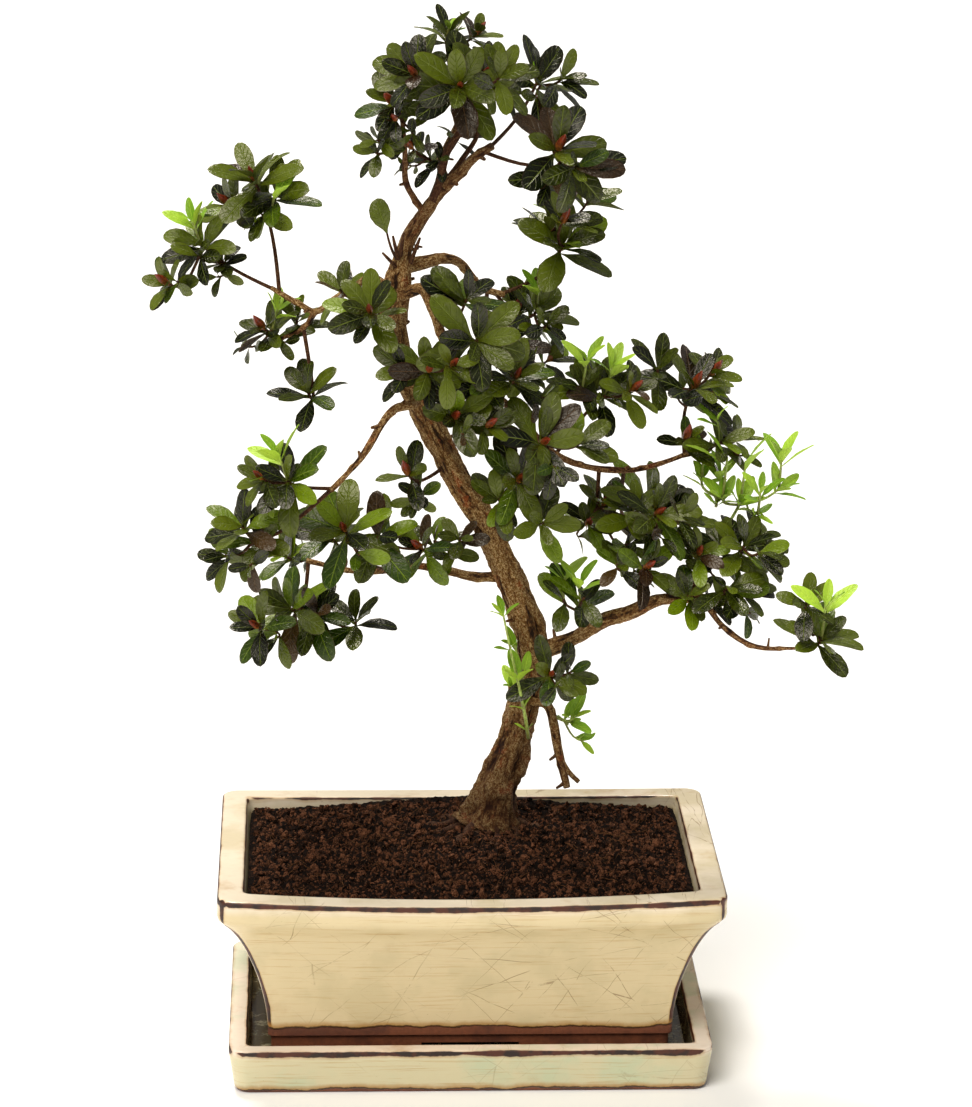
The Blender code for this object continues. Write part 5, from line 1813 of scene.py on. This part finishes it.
    def grow(self) -> None:
        """Grow every mass: stem, side twigs, rosettes, and finer twigs between them."""
        shoots = [mass_shoots(mass, seed) for seed, mass in enumerate(MASSES)]
        stems: list = []
        for mass, tips in zip(MASSES, shoots):
            root = spring_point(self.limbs.woods[mass.parent], tips[0].tip, stems)
            stems.append(grow_twig(root, tips[0], 2.2, 1.5, 8))
        rows = list(enumerate(zip(MASSES, shoots, stems)))
        rows.sort(key=lambda row: row[1][0].facing <= FACING)
        for seed, (mass, tips, stem) in rows:
            chance = random.Random(500 + seed)
            self.guarded = mass.name not in FRONT_MASSES
            own = [stem]
            self.leafy(tips[0], stem, mass, 0, chance)
            side = [(rank, shoot, (1.7, 1.3, 6)) for rank, shoot in enumerate(tips[1:], 1)]
            side += [(SIDE_RANK, shoot, (1.3, 1.0, 5)) for shoot in finer_shoots(mass, seed)]
            for rank, shoot, build in side:
                wood = min(own, key=lambda twig: nearest_place(twig, shoot.tip)[0])
                twig = grow_twig(spring_point(wood, shoot.tip), shoot, *build)
                if rank < SIDE_RANK:
                    own.append(twig)
                self.leafy(shoot, twig, mass, rank, chance)

    def lone_leaf(self) -> None:
        """Grow the single leaf under the crown."""
        tip = Vector((-41.4, -6.0, 419.0))
        shoot = Shoot(tip, Vector((-0.2, -0.1, 1.0)).normalized(), 0.0, 0.0)
        self.twigs.append(grow_twig(Vector((-36.5, -2.0, 405.0)), shoot, 1.8, 1.1, 5))
        along = Vector((-0.38, -0.15, 1.0)).normalized()
        front = Vector((-0.25, -1.0, 0.1))
        normal = (front - along * front.dot(along)).normalized()
        matrix = placed((along.cross(normal) * 23.0, along * 17.5, normal * 20.0), tip)
        self.blades.append(Blade(matrix, Kind.DARK, 0.7))

    def extras(self) -> None:
        """Grow what stands alone: stubs, forks, a leaf, a sprout and the long young shoot."""
        chance = random.Random(77)
        self.lone_leaf()
        for foot, end in self.stubs:
            points = [Vector(foot).lerp(Vector(end), step / 3) for step in range(4)]
            self.twigs.append(Wood(points, [1.3, 1.0, 0.9, 0.6]))
        for route, widths in self.forks:
            self.twigs.append(smooth_route(route, widths, 3.0))
        side = Shoot(Vector((-97.0, 24.0, 427.0)), Vector((0.1, -0.3, 0.95)), 0.0, 1.0)
        self.sprout(side, 6.0, 22.0, 4, chance)
        stem = smooth_route(self.lanky, (2.0, 1.8, 1.6, 1.3, 1.0), 6.0)
        self.lime_stems.append(stem)
        for share, leaf, count in self.lanky_leaves:
            point = point_at(stem, share * (len(stem.points) - 1) - 0.01)
            node = Shoot(point, Vector((-0.15, -0.2, 1.0)).normalized(), leaf,
                         chance.uniform(0.0, math.tau))
            self.rosette(node, Wood([point - node.axis, point], [0.6, 0.6]), count, Kind.LIME,
                         chance)

    def build_stems(self, name: str, woods: Sequence[Wood], finish: object,
                    replaced: Iterable[str] = ()) -> None:
        """Build twigs or young stems as one piece."""
        bundle = Bundle()
        for wood in woods:
            bundle.limb(wood, 6)
        settle(name, bundle.bm, [finish], replaced)

    def build_leaves(self) -> None:
        """Build the leaves of each kind as one piece."""
        mature = [LeafShape(*shape).model() for shape in (
            (0.45, 0.20, 0.25), (0.42, 0.40, 0.12), (0.47, 0.60, 0.30),
            (0.40, 0.15, 0.40), (0.44, 0.75, 0.18), (0.39, 0.35, 0.45))]
        young = [LeafShape(*shape, 0.52, 1.55).model() for shape in (
            (0.36, 0.25, 0.40), (0.40, 0.45, 0.30), (0.31, 0.15, 0.50))]
        for kind in Kind:
            models = young if kind is Kind.LIME else mature
            bundle = Bundle()
            for number, blade in enumerate(self.blades):
                if blade.kind is kind:
                    bundle.stamp(models[number % len(models)], blade.matrix, blade.tone)
            settle("leaves_" + kind.value, bundle.bm, SKINS[kind])

    def build_buds(self) -> None:
        """Build the flower buds as one piece."""
        bm = bmesh.new()
        uv = bm.loops.layers.uv.new("blade")
        layer(bm.verts.layers.float, "tone")
        bmesh.ops.create_uvsphere(bm, u_segments=8, v_segments=7, radius=0.5)
        for vert in bm.verts:
            along = vert.co.z + 0.5
            swell = math.sin(math.pi * min(1.0, along ** 0.7)) ** 0.8 if along > 0 else 0.0
            flat = Vector((vert.co.x, vert.co.y, 0.0))
            way = flat.normalized() if flat.length > 1e-6 else flat
            ridge = 1.0 + 0.12 * math.cos(4.0 * math.atan2(vert.co.y, vert.co.x) + 5.0 * along)
            vert.co = way * (0.5 * swell * ridge) + Vector((0.0, 0.0, along))
        for face in bm.faces:
            for loop in face.loops:
                loop[uv].uv = (0.5, loop.vert.co.z)
        model = to_mesh(bm, "bud")
        bundle = Bundle()
        for matrix, tone in self.buds:
            bundle.stamp(model, matrix, tone)
        settle("buds", bundle.bm, [BUD_SKIN])

    def build(self) -> None:
        """Build twigs, young stems, leaves and buds."""
        foliage = [name for name in frame["nodes"] if name.startswith("foliage_")]
        self.build_stems("twigs", self.twigs, TWIG_BARK, foliage)
        self.build_stems("young_stems", self.lime_stems, STEM_SKIN)
        self.build_leaves()
        self.build_buds()


# ==== studio ===============================================================================
@dataclass(frozen=True)
class Studio:
    """Plain pale floor, soft light and the camera."""

    lens: float = 144.7
    place: tuple = (-0.079, -2.126, 0.854)
    yaw: float = -2.349
    pitch: float = 15.703
    roll: float = 0.486
    sky: float = 0.28
    sky_tint: Colour = (1.0, 0.975, 0.93, 1.0)
    floor_shade: Colour = (0.93, 0.93, 0.93, 1.0)
    lamps: tuple = (("key", 2.40, 34.0, (36.0, 0.0, -30.0)),
                    ("top", 2.3, 14.0, (-20.0, 0.0, 22.0)))
    lamp_tint: tuple = (1.0, 0.965, 0.90)

    def build(self) -> None:
        """Set up floor, world, lights and camera."""
        scene = bpy.context.scene
        scene.view_settings.view_transform = "Standard"
        bm = bmesh.new()
        bmesh.ops.create_grid(bm, x_segments=1, y_segments=1, size=20.0)
        floor = add_object("floor", to_mesh(bm, "floor"))
        paint = Paint("floor", 0.9)
        paint.dress(Base_Color=self.floor_shade)
        floor.data.materials.append(paint.material)
        world = bpy.data.worlds.new("studio")
        world.use_nodes = True
        world.node_tree.nodes["Background"].inputs[0].default_value = self.sky_tint
        world.node_tree.nodes["Background"].inputs[1].default_value = self.sky
        scene.world = world
        for name, strength, softness, turn in self.lamps:
            lamp = bpy.data.lights.new(name, "SUN")
            lamp.energy = strength
            lamp.color = self.lamp_tint
            lamp.angle = math.radians(softness)
            add_object(name, lamp).rotation_euler = [math.radians(part) for part in turn]
        camera = add_object("camera", bpy.data.cameras.new("camera"))
        camera.data.lens = self.lens
        camera.data.sensor_width = 36.0
        camera.data.clip_end = 100.0
        camera.location = self.place
        turn = (Matrix.Rotation(math.radians(self.yaw), 3, "Z")
                @ Matrix.Rotation(math.radians(90.0 - self.pitch), 3, "X")
                @ Matrix.Rotation(math.radians(self.roll), 3, "Z"))
        camera.rotation_euler = turn.to_euler()
        scene.camera = camera


def main() -> None:
    """Build every piece in order."""
    logging.basicConfig(level=logging.INFO)
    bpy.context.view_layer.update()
    Studio().build()
    DripTray().build()
    Pot().build()
    SoilBed().build()
    limbs = Limbs()
    limbs.grow()
    limbs.build()
    crown = Crown(limbs)
    crown.grow()
    crown.extras()
    crown.build()
    bpy.context.view_layer.update()
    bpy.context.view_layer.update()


if __name__ == "__main__":
    main()
